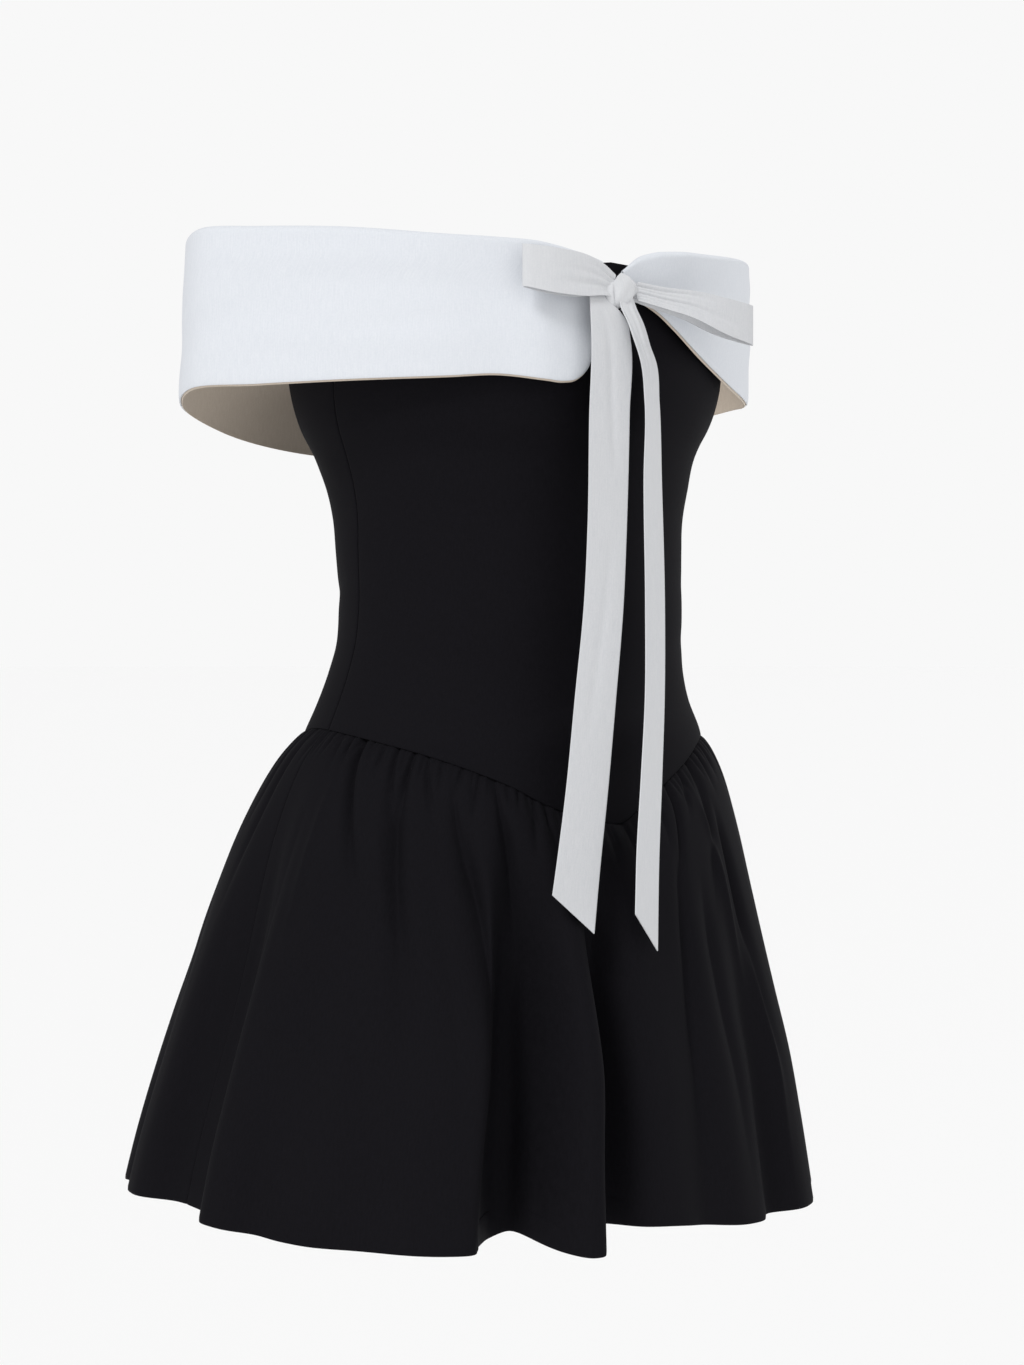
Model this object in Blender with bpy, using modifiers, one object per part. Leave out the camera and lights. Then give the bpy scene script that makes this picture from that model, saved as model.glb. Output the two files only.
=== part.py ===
"""Off-shoulder mini dress: smooth bodice, fold-over collar, ribbon bow and gathered skirt.

Metres, +Z up. The origin is the middle of the worn waist, the front faces -Y and the
garment's own left is +X. Angles run round the body from 0 at the centre front towards
the garment's left. Every piece of cloth is a thin wall made from a grid of columns and
rows, whose points a short function places from the tables of sizes below.
"""
import math

import bmesh
import bpy
import numpy as np

CM = 0.01
MM = 0.001

# Walls of cloth and the gap that two sewn edges keep.
BODICE_WALL = 1.5 * MM
SKIRT_WALL = 1.2 * MM
COLLAR_WALL = 1.5 * MM
RIBBON_WALL = 1.2 * MM
SEAM_GAP = 0.4 * MM

# How the body is divided: one column of the bodice every six degrees, four of the skirt in each.
COLUMN_DEGREES = 6.0
SKIRT_COLUMNS_EACH = 4
BODICE_ROWS = 10
SIDE_SEAM_DEGREES = 90.0        # where the side seams run at the waist seam and down the skirt
SIDE_SEAM_FORWARD = 11.0        # the bodice's side seam comes forward by this much to its top

# Rings of the bodice and of the hip line that the skirt hangs from (cm).
# height, half width, half depth, centre y
BODY_RINGS = [
    (-41.0, 23.1, 19.6, 4.8),
    (-34.5, 21.8, 18.4, 4.3),
    (-30.5, 20.8, 17.7, 3.9),
    (-26.5, 19.7, 16.7, 3.6),
    (-19.0, 17.6, 14.8, 2.9),
    (-16.5, 16.85, 14.1, 2.6),
    (-10.5, 14.75, 12.0, 1.5),
    (-8.5, 14.1, 11.3, 0.95),
    (-6.3, 13.2, 10.4, 0.8),
    (-4.3, 12.65, 9.8, 0.5),
    (-2.3, 12.4, 9.4, 0.1),
    (-0.3, 12.3, 9.4, 0.0),
    (3.7, 12.4, 9.5, 0.2),
    (5.7, 12.5, 9.7, 0.3),
    (7.7, 12.9, 10.1, 0.4),
    (9.7, 13.5, 10.8, 0.75),
    (11.7, 14.5, 11.6, 0.7),
    (14.5, 15.3, 12.2, 0.6),
    (18.0, 15.3, 12.0, 0.6),
    (23.0, 15.0, 11.6, 0.6),
]

# Top edge of the bodice: straight across the front, low under the arms (degrees, cm).
# angle, height
BODICE_TOP = [
    (0.0, 21.95),
    (25.0, 21.3),
    (45.0, 20.2),
    (60.0, 18.2),
    (78.0, 15.4),
    (95.0, 14.6),
    (120.0, 15.6),
    (145.0, 17.3),
    (180.0, 18.0),
]

# Seam of bodice and skirt: level round the back, pointed at the centre front (degrees, cm).
# angle, height
WAIST_SEAM = [
    (-180.0, -9.3),
    (-120.0, -8.4),
    (-95.0, -8.05),
    (-79.0, -8.35),
    (-65.0, -8.85),
    (-51.0, -9.55),
    (-37.0, -10.55),
    (-26.0, -11.6),
    (-15.0, -13.0),
    (-4.0, -13.8),
    (3.0, -14.1),
    (9.0, -13.3),
    (19.0, -11.9),
    (35.0, -10.2),
    (45.0, -9.3),
    (78.0, -8.9),
    (120.0, -9.1),
    (180.0, -9.3),
]

# Hem: it hitches up over the garment's right hip (degrees, cm).
# angle, height
HEM = [
    (-180.0, -39.4),
    (-140.0, -38.8),
    (-105.0, -38.2),
    (-78.0, -38.9),
    (-55.0, -39.9),
    (-34.0, -40.1),
    (-26.5, -39.9),
    (-20.6, -39.7),
    (-18.6, -40.3),
    (-15.0, -40.5),
    (-9.0, -39.5),
    (0.0, -39.4),
    (20.0, -40.1),
    (50.0, -39.9),
    (90.0, -39.8),
    (135.0, -39.6),
    (180.0, -39.4),
]

# Rows of the skirt, as shares of the way from seam to hem: close together in the gathers.
SKIRT_ROWS = (0.0, 0.035, 0.1, 0.22, 0.45, 0.72, 1.0)

# Deep flutes of the skirt at the hem (degrees, cm). The two spreads are towards the
# garment's right and left, and the lean carries the crest over towards its left. A negative
# height is a deep valley between two flutes.
# angle, height, spread right, spread left, lean
FLUTES = [
    (-166.0, 1.9, 9.0, 9.0, 0.0),
    (-145.0, 1.8, 9.0, 9.0, 1.5),
    (-134.0, -1.6, 4.0, 4.0, 0.0),
    (-124.0, 2.1, 10.0, 9.0, 0.0),
    (-103.0, 2.2, 9.0, 8.0, 0.0),
    (-75.0, 2.3, 6.0, 8.0, 0.0),
    (-60.0, 1.6, 7.0, 8.0, 0.0),
    (-38.4, 2.6, 14.0, 7.0, 5.5),
    (-24.0, -2.6, 4.5, 4.5, 0.0),
    (-15.9, 3.3, 3.6, 4.6, 3.5),
    (-7.5, -1.6, 4.0, 4.5, 0.0),
    (4.0, 1.2, 6.0, 8.0, 0.0),
    (22.0, 1.6, 8.0, 8.0, 0.0),
    (43.0, 2.3, 9.0, 8.0, -2.0),
    (64.0, 1.9, 8.0, 8.0, 0.0),
    (85.0, 1.9, 8.0, 8.0, 0.0),
    (106.0, 2.0, 8.0, 9.0, -2.0),
    (117.5, -1.8, 4.0, 4.5, 0.0),
    (129.0, 2.1, 9.0, 9.0, 2.0),
    (151.0, 1.9, 8.0, 9.0, 0.0),
    (162.0, -1.4, 4.0, 4.0, 0.0),
    (173.0, 1.8, 8.0, 8.0, 0.0),
]
FLUTE_LEVEL = 1.5 * CM          # rings and puff describe crests of this height
FLUTE_POWER = 3.0               # above two gives a flat crest and steep sides
FLUTE_FULL = 0.62               # share of the skirt's length where the flutes are full
HEM_HALF_WIDTH = 22.8 * CM      # above the hem, where the body is narrower, a flute keeps its width
SKIRT_PUFF = 1.2 * CM           # how far the gathered cloth stands out below the seam
PUFF_LENGTH = 1.5 * CM
GATHER_HEIGHT = 1.1 * MM        # crest or trough of one gather at the seam
GATHER_SEAT = 0.8 * MM          # the gathers sit this far out from the bodice's face
GATHER_FADE = 3.2 * CM          # how far down the gathers last on average
GATHER_FADE_RANGE = 0.45        # share of that length by which one gather differs
GATHER_FADE_TURN = 2.4          # radians of that difference from one gather to the next

# Collar stations from the centre front round the arm to the centre back (cm). Plan points
# are of the outer face just under the top fold. The right half leans out evenly; the left
# half has its own lean, and both differ in height at the front and agree at the back.
# x, y, top of the right half and of the left, lower edge of the right half and of the left,
# lean of the left half
COLLAR_STATIONS = [
    (0.3, -12.05, 21.5, 21.6, 17.6, 20.2, 0.1),
    (2.0, -12.0, 22.1, 22.35, 16.6, 19.4, 0.1),
    (2.75, -11.98, 22.3, 22.55, 15.0, 19.05, 0.1),
    (3.4, -11.94, 22.45, 22.68, 14.4, 18.7, 0.1),
    (4.5, -11.8, 22.7, 22.78, 14.15, 18.0, 0.05),
    (5.6, -11.6, 22.9, 22.85, 14.25, 17.3, 0.0),
    (8.3, -10.35, 23.15, 22.95, 14.55, 16.0, 0.0),
    (11.2, -8.9, 23.3, 23.05, 14.4, 14.8, 0.0),
    (16.2, -4.7, 23.8, 23.35, 14.2, 13.9, 0.0),
    (19.8, -0.2, 24.0, 23.6, 14.0, 13.8, 0.0),
    (21.7, 4.2, 24.1, 23.8, 13.9, 13.8, 0.2),
    (20.2, 8.2, 23.4, 23.4, 13.0, 13.0, 0.45),
    (15.6, 11.1, 21.9, 21.9, 11.6, 11.6, 0.5),
    (8.0, 13.2, 20.5, 20.5, 10.4, 10.4, 0.5),
    (3.0, 13.68, 20.15, 20.15, 10.15, 10.15, 0.5),
    (0.0, 13.7, 20.1, 20.1, 10.1, 10.1, 0.5),
]
COLLAR_COLUMNS = 44
COLLAR_CROWD = 1.25             # above one sets the columns closer towards the front
PLAN_STEP = 0.2                 # cm along the plan, either way, that its direction is read over
# Rows of the collar as shares of its profile: outer layer up to the spring of the top
# roll, the roll, and the inner layer below its own spring.
COLLAR_ROWS = (0.0, 0.12, 0.27, 0.45, 0.525, 0.6, 0.675, 0.75, 0.87, 1.0)
COLLAR_SPRING = 0.45
INNER_SPRING = 0.75
COLLAR_FOLD = 3.4 * MM          # radius of the roll at the top edge
RIGHT_LEAN = 0.5 * CM           # the right half's outer layer stands out by this at its lower edge
FULL_LEAN_DEPTH = 7.0 * CM      # an outer layer less deep than this stands out less
COLLAR_CLEARANCE = 1.35 * MM    # from the bodice's face to the middle of the inner layer
INNER_LAYER = 2.4 * CM          # depth of the inner layer below the fold
RIGHT_FRONT_EDGE = 2.4 * CM     # the right half's front edge hangs this far from the centre
FRONT_EDGE_SLANT = 3.0          # the edge slants out over one third of the outer layer

# Ribbon bow (cm): its knot sits on the collar at the centre front.
KNOT_SIZE = (2.4 * CM, 1.3 * CM, 2.3 * CM)
KNOT_CENTRE_X = -0.45 * CM
KNOT_HEIGHT = 19.85 * CM
KNOT_BEVEL = 0.5 * CM
KNOT_BEVEL_STEPS = 3
BEHIND_KNOT_STEP = 0.2 * CM     # the collar behind the knot is looked at this far apart
BEHIND_KNOT_STATIONS = 9
BEHIND_KNOT_ROWS = 16

# Loops of the bow, along one side from the knot out (cm): the middle line of the ribbon,
# half its width there and half the distance between its two layers.
# share, x, y, z, half width, half opening
RIGHT_LOOP = [
    (0.0, -1.7, -13.0, 20.3, 0.6, 0.30),
    (0.2, -2.5, -13.05, 20.6, 0.98, 0.45),
    (0.4, -3.7, -13.0, 20.75, 1.3, 0.52),
    (0.7, -5.9, -12.8, 20.98, 1.4, 0.45),
    (1.0, -7.75, -12.3, 21.28, 1.33, 0.24),
]
LEFT_LOOP = [
    (0.0, 0.8, -13.0, 19.95, 0.6, 0.30),
    (0.2, 2.3, -13.25, 19.6, 0.68, 0.50),
    (0.42, 4.3, -13.55, 19.25, 0.87, 0.60),
    (0.7, 6.6, -13.8, 18.64, 1.15, 0.55),
    (1.0, 9.3, -13.9, 18.1, 1.28, 0.24),
]
LOOP_END = 0.08                 # share of a loop's length taken by the turn at its end
LOOP_COLUMNS = 24
LOOP_ROWS = 4

# Tails (cm, degrees), from the knot down: the turn is about the vertical, 0 facing front.
# height, x, y, turn, width
RIGHT_TAIL = [
    (-19.5, -4.95, -13.8, 0.0, 3.25),
    (-16.0, -4.33, -13.6, 0.0, 3.2),
    (-12.0, -3.63, -13.4, 0.0, 3.2),
    (-6.0, -2.8, -13.2, 0.0, 3.2),
    (0.0, -2.07, -13.1, 0.0, 3.1),
    (5.0, -1.87, -13.2, 0.0, 3.07),
    (12.0, -1.92, -13.5, 0.0, 3.15),
    (16.9, -1.88, -13.6, 0.0, 3.05),
    (18.0, -1.99, -13.5, 0.0, 2.78),
    (18.5, -2.35, -13.45, 0.0, 2.0),
    (19.0, -2.495, -13.35, 0.0, 1.61),
    (19.55, -2.465, -13.3, 0.0, 1.55),
]
LEFT_TAIL = [
    (-20.8, -0.05, -14.95, 27.0, 3.2),
    (-16.0, 0.4, -14.5, 27.5, 3.2),
    (-11.0, 1.1, -13.95, 29.0, 3.2),
    (-6.0, 1.73, -13.45, 30.5, 3.2),
    (0.0, 2.05, -13.05, 30.5, 3.2),
    (8.0, 1.82, -13.1, 32.5, 3.2),
    (13.0, 1.53, -13.4, 36.5, 3.2),
    (15.6, 0.93, -13.75, 34.0, 3.0),
    (16.5, 0.5, -13.8, 33.0, 2.7),
    (17.9, -0.05, -13.7, 20.0, 1.8),
    (18.3, -0.05, -13.5, 8.0, 1.4),
    (18.66, -0.05, -13.2, 0.0, 1.1),
]
TAIL_COLUMNS = 3
TAIL_ROWS = 32
TAIL_CROWD = 1.35               # above one sets the rows closer towards the knot
TAIL_SLANT = 2.6 * CM           # the cut end is longer on the garment's left side
TAIL_SLANT_FADE = 6             # power with which the slant dies out up the tail


def clear_scene():
    for item in list(bpy.data.objects):
        bpy.data.objects.remove(item, do_unlink=True)


def make_material(name, colour, roughness):
    material = bpy.data.materials.new(name)
    material.use_nodes = True
    shader = material.node_tree.nodes["Principled BSDF"]
    shader.inputs["Base Color"].default_value = (*colour, 1.0)
    shader.inputs["Roughness"].default_value = roughness
    shader.inputs["Metallic"].default_value = 0.0
    return material


def read_table(table, key):
    """Reads a table at any key, its first column, along a smooth curve through its rows."""
    rows = np.array(table, dtype=float)
    keys, values = rows[:, 0], rows[:, 1:]
    key = min(max(key, keys[0]), keys[-1])
    slopes = np.gradient(values, keys, axis=0)
    row = min(int(np.searchsorted(keys, key, side="right")) - 1, len(keys) - 2)
    span = keys[row + 1] - keys[row]
    t = (key - keys[row]) / span
    start = (2 * t ** 3 - 3 * t ** 2 + 1) * values[row] + (t ** 3 - 2 * t ** 2 + t) * span * slopes[row]
    end = (3 * t ** 2 - 2 * t ** 3) * values[row + 1] + (t ** 3 - t ** 2) * span * slopes[row + 1]
    return start + end


def ease(share):
    """0 to 1 with a soft start and end."""
    share = min(max(share, 0.0), 1.0)
    return share * share * (3.0 - 2.0 * share)


def body_ring(height):
    """Half width, half depth and centre y of the body at a height, in metres."""
    return read_table(BODY_RINGS, height / CM) * CM


def body_point(degrees, height, stand_off=0.0):
    """Point on the body at an angle and height, moved out by a stand-off."""
    half_width, half_depth, centre_y = body_ring(height)
    angle = math.radians(degrees)
    return (
        (half_width + stand_off) * math.sin(angle),
        centre_y - (half_depth + stand_off) * math.cos(angle),
        height,
    )


def waist_seam(degrees):
    """Height of the seam, straight between the bodice's columns so that both edges match."""
    column = math.floor(degrees / COLUMN_DEGREES)
    start, end = column * COLUMN_DEGREES, (column + 1) * COLUMN_DEGREES
    heights = [float(read_table(WAIST_SEAM, wrap(angle))[0]) * CM for angle in (start, end)]
    return heights[0] + (heights[1] - heights[0]) * (degrees - start) / COLUMN_DEGREES


def wrap(degrees):
    """The same direction between -180 and 180 degrees."""
    return (degrees + 180.0) % 360.0 - 180.0 if abs(degrees) > 180.0 else degrees


def cloth(name, columns, rows, place, wall, offset, material, collection):
    """A wall of cloth: a grid whose points place(column, row) sets, thickened by Solidify."""
    shape = bmesh.new()
    bmesh.ops.create_grid(shape, x_segments=columns, y_segments=rows, size=0.5)
    for vert in shape.verts:
        column = round((vert.co.x + 0.5) * columns)
        row = round((vert.co.y + 0.5) * rows)
        vert.co = place(column, row)
    mesh = bpy.data.meshes.new(name)
    shape.to_mesh(mesh)
    shape.free()
    mesh.shade_smooth()
    mesh.materials.append(material)
    piece = bpy.data.objects.new(name, mesh)
    collection.objects.link(piece)
    solidify = piece.modifiers.new("Cloth wall", "SOLIDIFY")
    solidify.thickness = wall
    solidify.offset = offset
    return piece


def edge_trim(column, columns):
    """Which way a panel's end column moves in to leave half of the seam's gap."""
    return 1.0 if column == 0 else -1.0 if column == columns else 0.0


def bring_forward(degrees, share):
    """Moves an angle so that a side seam comes forward as the share of the height grows."""
    forward = SIDE_SEAM_FORWARD * share * share
    if abs(degrees) <= SIDE_SEAM_DEGREES:
        return degrees * (1.0 - forward / SIDE_SEAM_DEGREES)
    from_back = (180.0 - abs(degrees)) / (180.0 - SIDE_SEAM_DEGREES)
    return math.copysign(abs(degrees) - forward * from_back, degrees)


def make_bodice_panel(name, start, end, material, collection):
    """One panel of the bodice between two angles, from the waist seam to the top edge."""
    columns = round((end - start) / COLUMN_DEGREES)

    def place(column, row):
        share = row / BODICE_ROWS
        at_seam = start + (end - start) * column / columns
        degrees = bring_forward(at_seam, share)
        low = waist_seam(at_seam) + SEAM_GAP / 2
        high = float(read_table(BODICE_TOP, abs(bring_forward(at_seam, 1.0)))[0]) * CM
        height = low + (high - low) * share
        trim = math.degrees(SEAM_GAP / 2 / body_ring(height)[0])
        return body_point(degrees + trim * edge_trim(column, columns), height)

    return cloth(name, columns, BODICE_ROWS, place, BODICE_WALL, -1.0, material, collection)


def flute_form(degrees, widening):
    """How far full flutes stand out from their mean level at an angle, and their lean in degrees."""
    out, lean = -FLUTE_LEVEL * widening, 0.0
    for angle, height, spread_right, spread_left, crest_lean in FLUTES:
        away = (degrees - angle + 180.0) % 360.0 - 180.0
        spread = (spread_left if away > 0 else spread_right) * widening
        bump = math.exp(-(abs(away) / spread) ** FLUTE_POWER)
        out += height * CM * bump
        lean += crest_lean * widening * bump
    return out, lean


def make_skirt_panel(name, start, end, material, collection):
    """One panel of the skirt between two angles, gathered at the seam and fluted at the hem."""
    columns = round((end - start) / COLUMN_DEGREES) * SKIRT_COLUMNS_EACH

    def place(column, row):
        degrees = start + (end - start) * column / columns
        top = waist_seam(degrees) - SEAM_GAP / 2
        hem = float(read_table(HEM, wrap(degrees))[0]) * CM
        share = SKIRT_ROWS[row]
        height = top + (hem - top) * share
        down = top - height
        fade = GATHER_FADE * (1.0 + GATHER_FADE_RANGE * math.sin(GATHER_FADE_TURN * (column // 2)))
        crest = 1.0 if column % 2 else -1.0
        gather = crest * GATHER_HEIGHT * math.exp(-down / fade)
        puff = SKIRT_PUFF * (1.0 - math.exp(-down / PUFF_LENGTH))
        half_width = body_ring(height)[0]
        out, lean = flute_form(degrees, HEM_HALF_WIDTH / half_width)
        grown = ease(share / FLUTE_FULL)
        trim = math.degrees(SEAM_GAP / 2 / half_width)
        return body_point(degrees + lean * grown + trim * edge_trim(column, columns), height,
                          GATHER_SEAT + gather + puff + out * grown)

    rows = len(SKIRT_ROWS) - 1
    return cloth(name, columns, rows, flip_rows(place, rows), SKIRT_WALL, -1.0, material, collection)


def flip_rows(place, rows):
    """The same placing with its rows counted from the other edge."""
    return lambda column, row: place(column, rows - row)


def flip_columns(place, columns):
    """The same placing with its columns counted from the other edge."""
    return lambda column, row: place(columns - column, row)


def collar_plan():
    """The collar's stations with their distance along the plan as the key."""
    rows, distance = [], 0.0
    for index, station in enumerate(COLLAR_STATIONS):
        if index:
            before = COLLAR_STATIONS[index - 1]
            distance += math.hypot(station[0] - before[0], station[1] - before[1])
        rows.append((distance, *station))
    return rows


def collar_point(plan, distance, side, share):
    """Point of the collar's middle surface: share 0 is the outer lower edge, 1 the inner one."""
    x, y, top_right, top_left, low_right, low_left, left_lean = read_table(plan, distance / CM) * CM
    ahead = read_table(plan, distance / CM + PLAN_STEP) * CM
    behind = read_table(plan, distance / CM - PLAN_STEP) * CM
    along = np.array([ahead[0] - behind[0], ahead[1] - behind[1]])
    along /= np.linalg.norm(along)
    out = np.array([along[1], -along[0]])
    top, low, full_lean = (top_left, low_left, left_lean) if side > 0 else (top_right, low_right, RIGHT_LEAN)
    spring = top - COLLAR_FOLD
    middle = np.array([x, y]) - out * (COLLAR_WALL / 2)
    if share <= COLLAR_SPRING:
        height = low + (spring - low) * share / COLLAR_SPRING
        lean = full_lean * (spring - height) / (spring - low) * min(1.0, (spring - low) / FULL_LEAN_DEPTH)
        spot = middle + out * lean
    elif share <= INNER_SPRING:
        turn = math.pi * (share - COLLAR_SPRING) / (INNER_SPRING - COLLAR_SPRING)
        height = spring + COLLAR_FOLD * math.sin(turn)
        spot = middle - out * COLLAR_FOLD * (1.0 - math.cos(turn))
    else:
        height = spring - INNER_LAYER * (share - INNER_SPRING) / (1.0 - INNER_SPRING)
        spot = middle - out * 2 * COLLAR_FOLD
    spot = keep_off_body(spot, height)
    return side * spot[0], spot[1], height


def keep_off_body(spot, height):
    """Moves a plan point out to the bodice's face plus the collar's clearance."""
    half_width, half_depth, centre_y = body_ring(height)
    reach = math.hypot(spot[0] / (half_width + COLLAR_CLEARANCE),
                       (spot[1] - centre_y) / (half_depth + COLLAR_CLEARANCE))
    if reach >= 1.0:
        return spot
    return np.array([spot[0] / reach, centre_y + (spot[1] - centre_y) / reach])


def front_edge(side, share):
    """Distance along the plan where a half starts: the right one is cut away below the knot."""
    if side > 0:
        return 0.0
    below = max(0.0, COLLAR_SPRING - share) / COLLAR_SPRING
    return (RIGHT_FRONT_EDGE - COLLAR_STATIONS[0][0] * CM) * ease(below * FRONT_EDGE_SLANT)


def make_collar_half(name, side, material, collection):
    """One half of the fold-over collar, from the knot round the arm to the centre back."""
    plan = collar_plan()
    length = plan[-1][0] * CM - SEAM_GAP / 2
    rows = len(COLLAR_ROWS) - 1

    def place(column, row):
        share = COLLAR_ROWS[row]
        start = front_edge(side, share)
        distance = start + (length - start) * (column / COLLAR_COLUMNS) ** COLLAR_CROWD
        return collar_point(plan, distance, side, share)

    facing_out = place if side > 0 else flip_columns(place, COLLAR_COLUMNS)
    return cloth(name, COLLAR_COLUMNS, rows, facing_out, COLLAR_WALL, 0.0, material, collection)


def collar_front_face(centre_x, reach, height):
    """The foremost place of the collar within a reach of an x, down to a height."""
    plan = collar_plan()
    shares = [COLLAR_SPRING * row / BEHIND_KNOT_ROWS for row in range(BEHIND_KNOT_ROWS + 1)]
    spots = [collar_point(plan, front_edge(side, share) + station * BEHIND_KNOT_STEP, side, share)
             for station in range(BEHIND_KNOT_STATIONS) for side in (-1, 1) for share in shares]
    behind = [spot[1] for spot in spots if spot[2] >= height and abs(spot[0] - centre_x) <= reach]
    return min(behind) - COLLAR_WALL / 2


def make_knot(material, collection):
    """The wrapped middle of the bow: a soft block on the collar's outer face."""
    face = collar_front_face(KNOT_CENTRE_X, (KNOT_SIZE[0] - KNOT_BEVEL) / 2,
                             KNOT_HEIGHT - (KNOT_SIZE[2] - KNOT_BEVEL) / 2)
    shape = bmesh.new()
    bmesh.ops.create_cube(shape, size=1.0)
    bmesh.ops.scale(shape, vec=KNOT_SIZE, verts=shape.verts)
    bmesh.ops.bevel(shape, geom=shape.edges[:], offset=KNOT_BEVEL, segments=KNOT_BEVEL_STEPS, profile=0.5,
                    affect="EDGES", material=-1)
    centre = (KNOT_CENTRE_X, face - SEAM_GAP - KNOT_SIZE[1] / 2, KNOT_HEIGHT)
    bmesh.ops.translate(shape, vec=centre, verts=shape.verts)
    mesh = bpy.data.meshes.new("bow_knot")
    shape.to_mesh(mesh)
    shape.free()
    mesh.shade_smooth()
    mesh.materials.append(material)
    piece = bpy.data.objects.new("bow_knot", mesh)
    collection.objects.link(piece)
    return piece


def make_loop(name, table, side, material, collection):
    """One loop of the bow: the ribbon runs out in front, folds and comes back behind."""

    def place(column, row):
        way = 2.0 * column / LOOP_COLUMNS - 1.0
        share = math.sin(math.pi / 2 * (1.0 - abs(way)))
        round_end = math.sqrt(1.0 - (1.0 - min(1.0, (1.0 - share) / LOOP_END)) ** 2)
        x, y, z, half_width, half_opening = read_table(table, share) * CM
        across = 2.0 * row / LOOP_ROWS - 1.0
        layer = -1.0 if way < 0 else 1.0
        opening = half_opening * round_end * layer
        return x, y + opening, z + across * half_width

    facing_out = flip_columns(place, LOOP_COLUMNS) if side > 0 else place
    return cloth(name, LOOP_COLUMNS, LOOP_ROWS, facing_out, RIBBON_WALL, 0.0, material, collection)


def make_tail(name, table, material, collection):
    """One tail of the bow, from the knot down to its slanted end."""
    low, high = table[0][0], table[-1][0]

    def place(column, row):
        share = 1.0 - (1.0 - row / TAIL_ROWS) ** TAIL_CROWD
        across = column / TAIL_COLUMNS - 0.5
        height = low + (high - low) * share
        x, y, turn, width = read_table(table, height)
        slant = TAIL_SLANT * across * (1.0 - share) ** TAIL_SLANT_FADE
        angle = math.radians(turn)
        return (
            (x + across * width * math.cos(angle)) * CM,
            (y + across * width * math.sin(angle)) * CM,
            height * CM - slant,
        )

    return cloth(name, TAIL_COLUMNS, TAIL_ROWS, place, RIBBON_WALL, 0.0, material, collection)


def build_dress():
    clear_scene()
    collection = bpy.data.collections.new("off_shoulder_dress")
    bpy.context.scene.collection.children.link(collection)
    black = make_material("black_crepe", (0.0085, 0.0080, 0.0103), 0.85)
    white = make_material("white_crepe", (0.78, 0.80, 0.84), 0.75)
    ribbon = make_material("off_white_ribbon", (0.74, 0.74, 0.75), 0.6)

    side = SIDE_SEAM_DEGREES
    make_bodice_panel("bodice_front", -side, side, black, collection)
    make_bodice_panel("bodice_back_left", side, 180.0, black, collection)
    make_bodice_panel("bodice_back_right", -180.0, -side, black, collection)
    make_skirt_panel("skirt_front", -side, side, black, collection)
    make_skirt_panel("skirt_back", side, 360.0 - side, black, collection)
    make_collar_half("collar_right", -1, white, collection)
    make_collar_half("collar_left", 1, white, collection)
    make_knot(ribbon, collection)
    make_loop("bow_loop_right", RIGHT_LOOP, -1, ribbon, collection)
    make_loop("bow_loop_left", LEFT_LOOP, 1, ribbon, collection)
    make_tail("tie_tail_right", RIGHT_TAIL, ribbon, collection)
    make_tail("tie_tail_left", LEFT_TAIL, ribbon, collection)


build_dress()
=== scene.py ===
# Looks of the off-shoulder dress: black crepe bodice and gathered skirt, white fold-over collar,
# off-white ribbon bow. Everything is in metres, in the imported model's frame: +Z up, front towards -Y.
import math

import bmesh
import bpy
import numpy as np
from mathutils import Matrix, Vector


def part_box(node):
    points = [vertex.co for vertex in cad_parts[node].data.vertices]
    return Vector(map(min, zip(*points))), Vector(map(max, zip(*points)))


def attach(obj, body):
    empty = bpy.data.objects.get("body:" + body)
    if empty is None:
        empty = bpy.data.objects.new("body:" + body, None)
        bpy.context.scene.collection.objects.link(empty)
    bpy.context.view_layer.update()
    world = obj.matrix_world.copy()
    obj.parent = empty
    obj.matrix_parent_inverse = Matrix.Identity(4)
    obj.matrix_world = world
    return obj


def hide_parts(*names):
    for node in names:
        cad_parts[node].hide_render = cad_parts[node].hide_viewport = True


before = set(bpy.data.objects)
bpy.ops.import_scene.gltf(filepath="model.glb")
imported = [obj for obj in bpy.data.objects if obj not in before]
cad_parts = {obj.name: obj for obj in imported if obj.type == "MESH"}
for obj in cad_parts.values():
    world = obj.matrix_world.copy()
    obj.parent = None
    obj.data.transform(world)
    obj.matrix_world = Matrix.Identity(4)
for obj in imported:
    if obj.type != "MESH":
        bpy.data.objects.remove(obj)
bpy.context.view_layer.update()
cm = 0.01
mm = 0.001


# Small tools shared by every piece

def ease(share):
    share = np.clip(share, 0.0, 1.0)
    return share * share * (3.0 - 2.0 * share)


def readTable(table, keys):
    # reads the columns of a short table at many keys, along a smooth curve through its rows
    rows = np.array(table, float)
    at, values = rows[:, 0], rows[:, 1:]
    keys = np.clip(np.asarray(keys, float), at[0], at[-1])
    slopes = np.gradient(values, at, axis=0)
    row = np.clip(np.searchsorted(at, keys, side="right") - 1, 0, len(at) - 2)
    span = at[row + 1] - at[row]
    t = (keys - at[row]) / span
    startWeight, endWeight = 2 * t ** 3 - 3 * t ** 2 + 1, 3 * t ** 2 - 2 * t ** 3
    startSlope, endSlope = (t ** 3 - 2 * t ** 2 + t) * span, (t ** 3 - t ** 2) * span
    return [startWeight * values[row, k] + endWeight * values[row + 1, k]
            + startSlope * slopes[row, k] + endSlope * slopes[row + 1, k]
            for k in range(values.shape[1])]


def wrapDegrees(degrees):
    return (np.asarray(degrees) + 180.0) % 360.0 - 180.0


creaseTips = 0.12     # how far round its half wave a crease starts and ends


def crease(across, along, start, end, halfWidth, depth):
    # one soft trough from start to end in the cloth's own plane; a negative depth is a ridge
    start, end = np.array(start, float), np.array(end, float)
    run = end - start
    share = ((across - start[0]) * run[0] + (along - start[1]) * run[1]) / (run @ run)
    held = np.clip(share, 0.0, 1.0)
    away = np.hypot(across - start[0] - held * run[0], along - start[1] - held * run[1])
    fade = np.sin(math.pi * (creaseTips + (1.0 - 2.0 * creaseTips) * held))
    return -depth * fade * np.exp(-(away / halfWidth) ** 2)


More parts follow.
